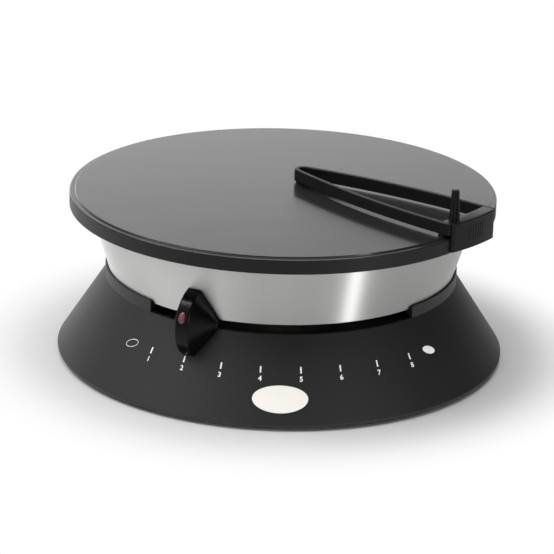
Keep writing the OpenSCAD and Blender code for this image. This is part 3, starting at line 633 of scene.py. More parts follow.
@dataclass
class Shape:
    """A mesh in the making: closed loops of points, in millimetres, joined into one closed piece."""

    points: list[np.ndarray] = field(default_factory=list)
    faces: list[Sequence[int]] = field(default_factory=list)
    count: int = 0

    def add(self, points: np.ndarray, faces: Sequence[Sequence[int]]) -> None:
        """Adds points, and faces numbered from the first of them.

        Args:
            points: An array whose last axis is X, Y and Z.
            faces: The vertex numbers of each face.
        """
        self.points.append(points.reshape(-1, 3))
        self.faces.extend([self.count + v for v in face] for face in faces)
        self.count += len(self.points[-1])

    def ring(self, loops: np.ndarray, closed: bool = True) -> "Shape":
        """Adds closed loops with quads between them.

        Vertex (i, j) is number i * columns + j. A quad joins (i, j), (i, j + 1), (i + 1, j + 1) and
        (i + 1, j), and after the last column comes the first.

        Args:
            loops: An array of shape (loops, points round, 3).
            closed: Joins the last loop to the first.

        Returns:
            This shape.
        """
        rows, cols = loops.shape[:2]
        i = np.arange(rows if closed else rows - 1)[:, None]
        j = np.arange(cols)[None]
        down, along = (i + 1) % rows, (j + 1) % cols
        quads = np.broadcast_arrays(i * cols + j, i * cols + along, down * cols + along, down * cols + j)
        self.add(loops, np.stack([corner.ravel() for corner in quads], 1).tolist())
        return self

    def tube(self, loops: np.ndarray) -> "Shape":
        """Adds closed loops with quads between them and a cap at each end.

        Args:
            loops: An array of shape (loops, points round, 3).

        Returns:
            This shape.
        """
        start, cols = self.count, loops.shape[1]
        self.ring(loops, closed=False)
        self.faces += [list(range(start, start + cols)), list(range(self.count - cols, self.count))]
        return self

    def build(self, name: str, finish: Finish, body: Body, slot: str,
              sharp: float = 34.0) -> bpy.types.Object:
        """Makes the object, at the origin, merged, facing outwards and riding on its body.

        Args:
            name: The piece's name.
            finish: Its finish.
            body: The body that it rides on.
            slot: The record's material slot; not used.
            sharp: Edges steeper than this angle, in degrees, stay sharp.

        Returns:
            The object.
        """
        mesh = bpy.data.meshes.new(name)
        mesh.from_pydata((np.concatenate(self.points) * MM).tolist(), [], self.faces)
        work = bmesh.new()
        work.from_mesh(mesh)
        bmesh.ops.remove_doubles(work, verts=work.verts, dist=MERGE * MM)
        bmesh.ops.dissolve_degenerate(work, edges=work.edges, dist=0.5 * MERGE * MM)
        bmesh.ops.recalc_face_normals(work, faces=work.faces)
        work.to_mesh(mesh)
        work.free()
        mesh.polygons.foreach_set("use_smooth", np.ones(len(mesh.polygons), bool))
        mesh.set_sharp_from_angle(angle=math.radians(sharp))
        mesh.materials.append(finish.material())
        piece = add_object(name, mesh)
        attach(piece, body.value)
        LOG.info("%s: %d faces on %s", name, len(mesh.polygons), body.value)
        return piece


def rounded(corners: Sequence[tuple[float, float, float]], steps: int = 5, hold: float = 0.12) -> np.ndarray:
    """A closed outline whose corners are arcs, with a held point beside each arc to keep flats flat.

    The arc at a corner touches both sides at radius / tan(half angle) from the corner.

    Args:
        corners: Each corner's two coordinates and its radius.
        steps: Arc steps at a rounded corner.
        hold: Distance of the held points from the arc.

    Returns:
        An (n, 2) array; a corner of radius 0 gives the same number of points as any other.
    """
    out: list[np.ndarray] = []
    n = len(corners)
    for k in range(n):
        before, here, after = (np.array(corners[(k + d) % n][:2]) for d in (-1, 0, 1))
        radius = corners[k][2]
        a = (before - here) / np.linalg.norm(before - here)
        b = (after - here) / np.linalg.norm(after - here)
        half = 0.5 * math.acos(float(np.clip(a @ b, -1.0, 1.0)))
        reach = radius / math.tan(half)
        middle = here + (a + b) / np.linalg.norm(a + b) * (radius / math.sin(half))
        t = np.linspace(0.0, 1.0, steps + 1)[:, None]
        start, end = here + a * reach - middle, here + b * reach - middle
        sweep = math.pi - 2.0 * half
        blend = (np.sin((1.0 - t) * sweep) * start + np.sin(t * sweep) * end) / math.sin(sweep)
        pad = hold if radius else 0.0
        out.append(here + a * (reach + pad))
        out.extend(middle + blend if radius else np.repeat(here[None], steps + 1, 0))
        out.append(here + b * (reach + pad))
    return np.array(out)


def spin(profile: np.ndarray, azimuths: np.ndarray) -> np.ndarray:
    """Turns (radius, height) points about the Z axis: x = r sin a, y = -r cos a.

    Args:
        profile: An (n, 2) profile, or one for each azimuth as (m, n, 2).
        azimuths: The m azimuths, in degrees.

    Returns:
        An (m, n, 3) array.
    """
    a = np.radians(azimuths)[:, None]
    r, z = profile[..., 0], profile[..., 1]
    return xyz(r * np.sin(a), -r * np.cos(a), z)


def box_mm(node: str) -> tuple[np.ndarray, np.ndarray]:
    """A node's lowest and highest corner, in millimetres."""
    low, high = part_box(node)
    return np.array(low) / MM, np.array(high) / MM


# ---------------------------------------------------------------- griddle and band


@dataclass
class Griddle:
    """The cast griddle with its raised cooking disc, shoulder and hanging rim."""

    step: float = 1.15
    shoulder: float = 4.7
    rim_t: float = 7.0
    plate_t: float = 7.0

    def build(self) -> None:
        """Turns the griddle's outline about its axis."""
        low, high = box_mm("griddle_plate")
        r, top, rim = high[0], high[2], low[2]
        seat, edge = top - self.plate_t, top - self.step
        disc, inner = r - self.shoulder, r - self.rim_t
        outline = rounded([
            (0.0, seat, 0.0), (inner, seat, 1.2), (inner, rim, 0.5), (r, rim, 0.7),
            (r, edge, 0.8), (disc, edge, 0.25), (disc, top, 0.35), (0.0, top, 0.0),
        ])
        shape = Shape().ring(spin(outline, full_turn(FACETS)))
        piece = shape.build("cast_griddle", IRON, Body.BASE, "griddle_iron")
        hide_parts("griddle_plate")


@dataclass
class Walls:
    """The walls of revolution that the other pieces stand against."""

    lip_z: float = 5.3
    crease_z: float = 65.9
    band_z: float = 72.65
    collar_z: float = 75.8
    seat_z: float = 132.0
    base_r: float = 184.8
    collar_r: float = 145.295
    collar_in: float = 143.595
    band_r: float = 142.295
    flare: float = 0.3

    @property
    def slope(self) -> float:
        """How much the cone's radius grows for each millimetre down."""
        return (self.base_r - self.collar_r) / (self.crease_z - self.lip_z)

    def cone(self, z: Any) -> Any:
        """The cone's radius at a height."""
        return self.base_r - self.slope * (z - self.lip_z)

    def band(self, z: Any) -> Any:
        """The band's outer radius at a height."""
        return self.band_r + self.flare * (z - self.band_z)

    def outer(self, z: np.ndarray) -> np.ndarray:
        """The outermost wall's radius at each height: the cone's, the collar's, then the band's."""
        upper = np.where(z < self.collar_z, self.collar_r, self.band(z))
        return np.where(z < self.crease_z, self.cone(z), upper)

    def on_cone(self, azimuth: float, z: float, across: Any, up: Any, lift: Any) -> np.ndarray:
        """Lays flat artwork on the cone.

        Up runs along the slope, across runs round it at the local radius, and lift stands off it.

        Args:
            azimuth: The artwork's middle, in degrees.
            z: Height of its middle.
            across: Distances to the right.
            up: Distances up the slope.
            lift: Distances off the surface.

        Returns:
            The points, with the shape of the arguments and three coordinates.
        """
        along = 1.0 / math.hypot(1.0, self.slope)
        height = z + along * up
        a = math.radians(azimuth) + across / self.cone(height)
        r = self.cone(height) + lift * along
        return xyz(r * np.sin(a), -r * np.cos(a), height + lift * along * self.slope)


@dataclass
class Band:
    """The steel band: a flared sheet with a flange under the griddle, a return flange and a lap seam."""

    walls: Walls
    sheet: float = 0.9
    flange: float = 10.0
    back: float = 4.5
    lap_w: float = 14.0
    lap_t: float = 0.5
    lap_edge: float = 0.06
    welds: int = 5
    weld_r: float = 1.7
    weld_depth: float = 0.28

    def build(self) -> None:
        """Turns the sheet's section about the axis and adds the lap at the back."""
        w, t = self.walls, self.sheet
        foot, head = w.band_z, w.seat_z
        inner, back = w.band(head) - self.flange, w.band_r - self.back
        outline = rounded([
            (back, foot, 0.15), (w.band_r, foot, 0.45), (w.band(head), head, 0.5), (inner, head, 0.15),
            (inner, head - t, 0.15), (w.band(head - t) - t, head - t, 0.2),
            (w.band(foot + t) - t, foot + t, 0.2), (back, foot + t, 0.15),
        ])
        shape = Shape().ring(spin(outline, full_turn(FACETS)))
        piece = shape.build("flared_band", BAND, Body.BASE, "band_steel")
        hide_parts("steel_band")
        self.lap()

    def lap(self) -> None:
        """A strip of the same sheet over the joint at the back.

        Its lift rises in a quarter circle from each long edge, and each spot weld is a bell-shaped
        dimple, exp(-(distance / radius) squared).
        """
        w = self.walls
        across = np.linspace(-1.0, 1.0, 57)[None, :]
        z = np.linspace(w.collar_z + 0.6, w.seat_z - 8.0, 121)[:, None]
        edge = np.clip((1.0 - np.abs(across)) / self.lap_edge, 0.0, 1.0)
        lift = 0.05 + self.lap_t * np.sqrt(1.0 - (1.0 - edge) ** 2) + 0.0 * z
        for spot in np.linspace(w.collar_z + 7.0, w.seat_z - 15.0, self.welds):
            away = np.hypot(across * self.lap_w / 2, z - spot)
            lift = lift - self.weld_depth * np.exp(-((away / self.weld_r) ** 2)) * edge
        angle = np.pi + across * self.lap_w / 2 / w.band_r
        front, under = (xyz((w.band(z) + off) * np.sin(angle), -(w.band(z) + off) * np.cos(angle), z)
                        for off in (lift, -0.2 + 0.0 * lift))
        shape = Shape().tube(np.concatenate([front, under[:, ::-1]], 1))
        shape.build("band_lap", BAND, Body.BASE, "band_steel")


# ---------------------------------------------------------------- base


@dataclass
class Base:
    """The plastic base: cone, collar with the lever's slot, ledge, ribs, screw bosses and gland pad."""

    walls: Walls
    edge_z: float = 3.3
    wall_x: float = 3.343
    ledge_in: float = 137.295
    ledge_t: float = 2.4
    rib_z: float = 59.85
    slot_half: float = 45.8
    corner: float = 0.9
    rib_first: float = 60.0
    rib_pitch: float = 30.0
    rib_count: int = 9
    rib_half: float = 0.6
    pad_r: float = 11.0
    seat_r: float = 7.0
    gland_z: float = 23.3
    floor_z: float = 7.3
    boss_merge: float = 19.0
    boss_r: float = 4.0
    boss_count: int = 5

    def section(self, slotted: bool) -> np.ndarray:
        """The wall's closed section, with its collar and ledge or cut down to the crease.

        Args:
            slotted: True for the section inside the lever's slot.

        Returns:
            The (radius, height) points, equally many for both sections.
        """
        w, x = self.walls, self.wall_x
        edge = w.base_r - 0.6
        foot = [(edge - x, self.edge_z, 0.3), (edge, self.edge_z, 0.45), (w.base_r, w.lip_z, 0.9)]
        if slotted:
            run = np.linspace(w.collar_r - 0.6, w.collar_r - x + 0.25, 7)
            upper = [(w.collar_r, w.crease_z, 0.35)] + [(r, w.crease_z, 0.0) for r in run]
        else:
            ledge = w.band_z - self.ledge_t
            upper = [
                (w.collar_r, w.crease_z, 0.4), (w.collar_r, w.collar_z, 0.45),
                (w.collar_in, w.collar_z, 0.3), (w.collar_in, w.band_z, 0.1),
                (self.ledge_in, w.band_z, 0.2), (self.ledge_in, ledge, 0.2),
                (w.collar_in, ledge, 0.1), (w.collar_in, w.crease_z, 0.0),
            ]
        inner = [(w.collar_r - x, w.crease_z - 0.01, 0.0), (w.base_r - x, w.lip_z, 0.0)]
        return rounded(foot + upper + inner, steps=4)

    def build(self) -> None:
        """Carries the section round the axis and adds the parts inside and behind it.

        Past each end of the slot the collar's top corner drops by a quarter circle.
        """
        half, corner = self.slot_half, self.corner
        reach = math.degrees(corner / self.walls.collar_r)
        ease = np.array([0.0, 0.03, 0.12, 0.3, 0.6, 1.0])
        drop = corner * (1.0 - np.sqrt(1.0 - (1.0 - ease) ** 2))
        inside = np.linspace(-half, half, 101)
        outside = np.linspace(half + reach, 360.0 - half - reach, 301)[1:-1]
        azimuths = np.concatenate([inside, half + ease * reach, outside, 360.0 - half - ease[::-1] * reach])
        tops = np.concatenate([drop, 0.0 * outside, drop[::-1]])
        solid = np.repeat(self.section(False)[None], len(tops), 0)
        solid[..., 1] -= np.where(solid[..., 1] > self.walls.band_z + 1.0, tops[:, None], 0.0)
        profile = np.concatenate([np.repeat(self.section(True)[None], len(inside), 0), solid])
        shape = Shape().ring(spin(profile, azimuths))
        self.ribs(shape)
        self.bosses(shape)
        self.pad(shape)
        piece = shape.build("base_moulding", SHELL, Body.BASE, "black_shell", sharp=40.0)
        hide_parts("base_shell")

    def ribs(self, shape: Shape) -> None:
        """Flat ribs under the ledge, each one outline between two azimuths.

        Args:
            shape: The shell's mesh, which the ribs join.
        """
        w = self.walls
        ledge, out = w.band_z - self.ledge_t, w.collar_in + 0.3
        rib = np.array([(self.ledge_in, self.rib_z), (w.cone(self.rib_z) - 2.0, self.rib_z),
                        (out, ledge - 4.0), (out, ledge), (self.ledge_in, ledge)])
        for k in range(self.rib_count):
            middle = self.rib_first + k * self.rib_pitch
            sides = np.array([middle - self.rib_half, middle + self.rib_half])
            shape.tube(spin(np.stack([rib, rib]), sides))

    def bosses(self, shape: Shape) -> None:
        """Round posts for the cover's screws; each ends inside the wall, where the cone is that wide.

        Args:
            shape: The shell's mesh, which the bosses join.
        """
        w = self.walls
        angle = circle(32)
        at = w.cone(self.floor_z + self.boss_merge) - self.wall_x
        for a in np.radians(full_turn(self.boss_count)):
            x = at * math.sin(a) + self.boss_r * np.cos(angle)
            y = -at * math.cos(a) + self.boss_r * np.sin(angle)
            top = w.lip_z + (w.base_r - 0.5 * self.wall_x - np.hypot(x, y)) / w.slope
            shape.tube(np.stack([xyz(x, y, z) for z in (self.floor_z, top)]))

    def pad(self, shape: Shape) -> None:
        """The thick ring that carries the cord's gland: (distance along +Y, radius) turned about the cord.

        Args:
            shape: The shell's mesh, which the pad joins.
        """
        w, r, seat, turn = self.walls, self.pad_r, self.seat_r, circle(96)
        end = w.cone(self.gland_z - r) + 0.5
        start = w.cone(self.gland_z + r) - self.wall_x - 2.0
        outline = [(start, r), (end - 0.8, r), (end - 0.6, r - 0.05), (end - 0.2, r - 0.45), (end, r - 0.8),
                   (end, seat + 0.2), (end - 0.2, seat), (start, seat)]
        shape.ring(np.stack([xyz(radius * np.cos(turn), y, self.gland_z + radius * np.sin(turn))
                             for y, radius in outline]))


@dataclass
class Dial:
    """The printed marks on the cone: eight ticks with their numbers and an oval at each end."""

    walls: Walls
    first: float = -39.3
    pitch: float = 11.23
    marks: int = 8
    tick_z: float = 42.1
    tick_l: float = 5.3
    tick_w: float = 1.25
    figure_z: float = 36.2
    figure_h: float = 3.9
    figure_bold: float = 0.035
    capital: float = 0.70
    oval_at: float = 47.2
    oval_w: float = 12.9
    oval_h: float = 6.5
    oval_tilt: float = 20.0
    line: float = 0.45
    ink: float = 0.05
    root: float = -0.1

    def build(self) -> None:
        """Prints the ticks, ovals and figures."""
        for name, shape in (("ticks", self.ticks()), ("ovals", self.ovals()), ("figures", self.figures())):
            shape.build("dial_" + name, INK, Body.BASE, "badge_cream")

    def place(self, azimuth: float, z: float, flat: np.ndarray, lift: Any) -> np.ndarray:
        """Lays flat points, as (..., 2) millimetres, on the cone at a lift."""
        return self.walls.on_cone(azimuth, z, flat[..., 0], flat[..., 1], lift)

    def ticks(self) -> Shape:
        """Eight short bars with round ends, each a low closed slab.

        Returns:
            The mesh.
        """
        w, l, r = self.tick_w / 2, self.tick_l / 2, self.tick_w * 0.3
        bar = rounded([(-w, -l, r), (w, -l, r), (w, l, r), (-w, l, r)], 4, 0.02)
        shape = Shape()
        for k in range(self.marks):
            at = self.first + k * self.pitch
            shape.tube(np.stack([self.place(at, self.tick_z, bar, lift) for lift in (self.root, self.ink)]))
        return shape

    def ovals(self) -> Shape:
        """The outlined oval at the low end and the filled one at the high end, which lean opposite ways.

        The outline is a flat rectangle carried round the oval, and the filled one is a row of shrinking
        ovals. A flat point leans by the tilt's rotation.

        Returns:
            The mesh.
        """
        unit = arc(1.0, circle(72))
        size = np.array([self.oval_w, self.oval_h]) / 2
        tilt = math.radians(self.oval_tilt)
        lean = np.array([[math.cos(tilt), math.sin(tilt)], [-math.sin(tilt), math.cos(tilt)]])
        edges = [(0.0, self.root), (0.0, self.ink), (-self.line, self.ink), (-self.line, self.root)]
        shape = Shape().ring(np.stack([
            self.place(-self.oval_at, self.tick_z, unit * (size + inset) @ lean, lift)
            for inset, lift in edges]))
        shares = [(1.0, self.root)] + [(k, self.ink) for k in (1.0, 0.85, 0.7, 0.55, 0.4, 0.25, 0.1)]
        return shape.tube(np.stack([
            self.place(self.oval_at, self.tick_z, unit * size * k @ lean.T, lift) for k, lift in shares]))

    def figures(self) -> Shape:
        """The numbers 1 to 8 from the built-in font, laid on the cone under their ticks.

        Returns:
            The mesh.
        """
        shape = Shape()
        for k in range(self.marks):
            text = bpy.data.curves.new("figure", "FONT")
            text.body = str(k + 1)
            text.size = self.figure_h / self.capital
            text.offset = self.figure_bold * self.figure_h
            text.extrude = 0.1
            text.resolution_u = 5
            text.align_x = "CENTER"
            holder = add_object("figure", text)
            graph = bpy.context.evaluated_depsgraph_get()
            mesh = bpy.data.meshes.new_from_object(holder.evaluated_get(graph))
            flat = np.empty(len(mesh.vertices) * 3)
            mesh.vertices.foreach_get("co", flat)
            flat = flat.reshape(-1, 3)
            flat[:, 1] -= self.figure_h / 2
            lift = np.where(flat[:, 2] > 0.0, self.ink, self.root)
            points = self.place(self.first + k * self.pitch, self.figure_z, flat[:, :2], lift)
            shape.add(points, [list(face.vertices) for face in mesh.polygons])
            bpy.data.objects.remove(holder)
            bpy.data.meshes.remove(mesh)
            bpy.data.curves.remove(text)
        return shape


@dataclass
class Badge:
    """The bare oval badge on the front of the cone: a low pad with a fine raised border."""

    walls: Walls
    width: float = 43.8
    height: float = 22.0
    thick: float = 0.8
    z: float = 22.6
    border: float = 0.035
    dip: float = 0.16

    def build(self) -> None:
        """Lays a polar grid on the cone; its lift rises steeply at the edge and dips inside the border."""
        turn = circle(144)[None, :]
        rise = 1.0 - self.border * np.array([0.01, 0.05, 0.15, 0.35, 0.65, 1.0])
        share = np.concatenate([[1.0, 1.0], rise, np.linspace(0.95, 0.04, 20)])[:, None]
        edge = np.clip((1.0 - share) / self.border, 0.0, 1.0)
        lift = self.thick * (0.45 + 0.55 * np.sqrt(1.0 - (1.0 - edge) ** 2))
        lift = lift - self.dip * np.clip((0.952 - share) / 0.012, 0.0, 1.0)
        lift[0] = -0.2
        across = self.width / 2 * share * np.cos(turn)
        up = self.height / 2 * share * np.sin(turn)
        shape = Shape().tube(self.walls.on_cone(0.0, self.z, across, up, lift))
        piece = shape.build("bare_badge", ENAMEL, Body.BASE, "badge_cream")
        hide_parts("oval_badge")


@dataclass
class Underside:
    """The rubber feet under the cover and the cord's gland at the back."""

    foot_r: float = 11.0
    foot_at: float = 154.8
    screw_r: float = 3.6
    bore_r: float = 1.7
    cover_z: float = 4.8
    gland_z: float = 23.3
    gland_r: float = 7.0
    cord_r: float = 3.75
    flange: float = 2.5

    def build(self) -> None:
        """Turns four feet about their own axes and the gland about the cord's."""
        self.feet()
        self.gland()

    def feet(self) -> None:
        """Feet with a rolled edge, a grooved sole and a recess for the screw."""
        outline = rounded([
            (self.bore_r, 2.0, 0.0), (self.screw_r, 2.0, 0.2), (self.screw_r, 0.0, 0.4), (6.0, 0.0, 0.2),
            (6.3, 0.45, 0.15), (7.1, 0.45, 0.15), (7.4, 0.0, 0.2), (self.foot_r - 1.0, 0.0, 0.5),
            (self.foot_r, 1.2, 0.5), (self.foot_r, self.cover_z, 0.2), (self.bore_r, self.cover_z, 0.0),
        ], 4, 0.05)
        foot = spin(outline, full_turn(72))
        shape = Shape()
        for a in np.radians([45.0, 135.0, 225.0, 315.0]):
            shape.ring(foot + np.array([self.foot_at * math.cos(a), self.foot_at * math.sin(a), 0.0]))
        piece = shape.build("rubber_foot_set", RUBBER, Body.BASE, "foot_rubber")
        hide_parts("rubber_feet")

    def gland(self) -> None:
        """A bush with a rolled flange: (radius, distance along +Y) turned about the cord."""
        low, high = box_mm("cord_gland")
        start, end = low[1], high[1]
        cord, bush, lip = self.cord_r, self.gland_r, end - self.flange
        outline = rounded([
            (cord, start, 0.3), (bush, start, 0.4), (bush, lip, 0.0), (bush + 2.5, lip, 0.3),
            (bush + 1.7, end, 0.9), (cord + 0.9, end, 0.4), (cord, end - 1.4, 0.5),
        ], 5, 0.05)
        turn = np.radians(full_turn(96))[:, None]
        r, y = outline.T[:, None]
        shape = Shape().ring(xyz(r * np.cos(turn), y, self.gland_z + r * np.sin(turn)))
        piece = shape.build("cord_bush", RUBBER, Body.BASE, "gland_rubber")
        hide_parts("cord_gland")


# ---------------------------------------------------------------- lever


@dataclass
class Knob:
    """The lever's knob: a round blade that spreads into a wide root, with the pilot lens in its nose."""

    walls: Walls
    azimuth: float = -27.2
    radius: float = 29.6
    thick: float = 10.8
    centre_r: float = 142.395
    centre_z: float = 69.5
    root_w: float = 38.6
    root_h: float = 3.4
    root_r: float = 146.6
    gap: float = 0.6
    edge: float = 1.1
    lens_up: float = 10.5
    lens_w: float = 6.0
    lens_h: float = 9.0
    bezel: float = 0.35

    def turned(self, r: Any, t: Any, z: Any) -> np.ndarray:
        """Points of the lever's own frame, r outwards and t to its left, at its azimuth."""
        return aimed(self.azimuth, r, t, z)

    def blade(self, angle: np.ndarray) -> np.ndarray:
        """The knob's front surface: for each angle round the blade, a line from root to root.

        The line runs from the root's end to the blade's edge, over the nose and back, with its two
        corners rounded as quadratic curves.

        Args:
            angle: Angles round the blade's centre, of shape (columns, angles), in radians.

        Returns:
            Points as (r, t, z), of shape (columns, angles, 3); there is one column per row of angle.
        """
        c, s = np.cos(angle), np.sin(angle)
        edge = [xyz(self.centre_r + self.radius * c, side * self.thick / 2, self.centre_z + self.radius * s)
                for side in (-1.0, 1.0)]
        root = [xyz(self.root_r, side * self.root_w / 2, self.centre_z + self.root_h / 2 * s)
                for side in (-1.0, 1.0)]

        def toward(p: np.ndarray, q: np.ndarray) -> np.ndarray:
            """The point of the line from p to q that lies the rounding's length from p."""
            return p + (q - p) / np.linalg.norm(q - p, axis=-1, keepdims=True) * self.edge

        near = [toward(edge[k], root[k]) for k in (0, 1)]
        nose = [toward(edge[k], edge[1 - k]) for k in (0, 1)]
        kind, share = self.columns()
        f = share[:, None, None]
        return np.choose(kind[:, None, None], [
            root[0] + (near[0] - root[0]) * f, self.bend(near[0], edge[0], nose[0], f),
            nose[0] + (nose[1] - nose[0]) * f, self.bend(nose[1], edge[1], near[1], f),
            near[1] + (root[1] - near[1]) * f])

    @staticmethod
    def bend(a: np.ndarray, b: np.ndarray, c: np.ndarray, f: np.ndarray) -> np.ndarray:
        """The quadratic curve from a to c that b pulls."""
        return (1.0 - f) ** 2 * a + 2.0 * f * (1.0 - f) * b + f ** 2 * c

    @staticmethod
    def columns() -> tuple[np.ndarray, np.ndarray]:
        """Which stretch of the line each column lies on, and how far along it.

        Returns:
            The stretch numbers and the shares.
        """
        root_end = np.concatenate([[0.0, 0.01, 0.03], np.linspace(0.07, 1.0, 26)])
        bends = np.linspace(0.0, 1.0, 8)[1:]
        runs = [root_end, bends, np.linspace(0.0, 1.0, 9)[1:], bends, 1.0 - root_end[::-1][1:]]
        kind = np.concatenate([np.full(len(run), k) for k, run in enumerate(runs)])
        return kind, np.concatenate(runs)

    def reach(self, z: np.ndarray) -> np.ndarray:
        """The radius that the knob keeps outside of at each height, so that it passes the collar."""
        return np.maximum(self.walls.outer(z), self.walls.collar_r) + self.gap

    def limits(self) -> tuple[np.ndarray, np.ndarray]:
        """For each column, the angles between which the surface stands clear of the walls.

        From the middle outwards, the first angle inside of reach() and the one before it are found, and
        the limit lies between them in proportion.

        Returns:
            The lower and upper angles.
        """
        rows = np.arange(len(self.columns()[0]))
        tries = 700
        found = []
        for side in (-1.0, 1.0):
            angle = np.broadcast_to(np.linspace(0.0, side * math.pi / 2, tries), (len(rows), tries))
            p = self.blade(angle)
            clear = np.hypot(p[..., 0], p[..., 1]) - self.reach(p[..., 2])
            inside = clear <= 0.0
            first = np.where(inside.any(1), inside.argmax(1), tries - 1)
            before = np.maximum(first - 1, 0)
            c0, c1 = clear[rows, before], clear[rows, first]
            part = np.where(inside.any(1), c0 / np.maximum(c0 - c1, 1e-9), 1.0)
            a0, a1 = angle[rows, before], angle[rows, first]
            found.append(a0 + (a1 - a0) * np.clip(part, 0.0, 1.0))
        return found[0], found[1]

    def build(self) -> None:
        """Closes the front with a back that follows the walls, then adds the lens and its bezel."""
        low, high = self.limits()
        share = 0.5 - 0.5 * np.cos(np.linspace(0.0, math.pi, 110))
        front = self.blade(low[:, None] + (high - low)[:, None] * share[None])
        top, bottom = front[:, -1], front[:, 0]
        f = np.linspace(0.0, 1.0, 16)[None, 1:-1]
        z = top[:, 2:3] + (bottom[:, 2:3] - top[:, 2:3]) * f
        turn = [np.arctan2(p[:, 1:2], p[:, 0:1]) for p in (top, bottom)]
        a = turn[0] + (turn[1] - turn[0]) * f
        ring = np.concatenate([front, xyz(self.reach(z) * np.cos(a), self.reach(z) * np.sin(a), z)], 1)
        shape = Shape().tube(self.turned(*np.moveaxis(ring, -1, 0)))
        piece = shape.build("lever_grip", HANDLE, Body.LEVER, "black_handle", sharp=50.0)
        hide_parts("lever_knob")
        self.lens()

    def lens(self) -> None:
        """An oval dome on the nose, in a thin raised bezel whose section is a circle."""
        middle = math.asin(self.lens_up / self.radius)
        turn = circle(72)[None, :]

        def oval(share: Any, lift: Any, grow: Any = 0.0) -> np.ndarray:
            """Rings of an oval on the nose.

            Args:
                share: Shares of the lens's size.
                lift: Distances off the nose.
                grow: Distances past the lens's edge.

            Returns:
                The points, with t = half width * cos and an arc of half height * sin round the nose.
            """
            t = (self.lens_w / 2 + grow) * share * np.cos(turn)
            a = middle + (self.lens_h / 2 + grow) * share * np.sin(turn) / self.radius
            r = self.radius + lift
            return self.turned(self.centre_r + r * np.cos(a), t, self.centre_z + r * np.sin(a))

        share = np.concatenate([[1.0], np.sin(np.linspace(math.pi / 2, 0.08, 14))])[:, None]
        dome = 0.15 + 0.85 * np.sqrt(np.maximum(1.0 - share ** 2, 0.0))
        dome[0] = -1.2
        r = self.radius + 0.5
        spot = self.turned(self.centre_r + r * math.cos(middle), 0.0, self.centre_z + r * math.sin(middle))
        finish = Lens("pilot_red", centre=tuple(spot.tolist()))
        piece = Shape().tube(oval(share, dome)).build("pilot_dome", finish, Body.LEVER, "lens_red")
        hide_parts("pilot_lens")
        around, thick = circle(12)[:, None], self.bezel
        rings = oval(1.0, thick * np.sin(around), thick + thick * np.cos(around))
        Shape().ring(rings).build("lens_bezel", HANDLE, Body.LEVER, "black_handle")


# ---------------------------------------------------------------- spreader


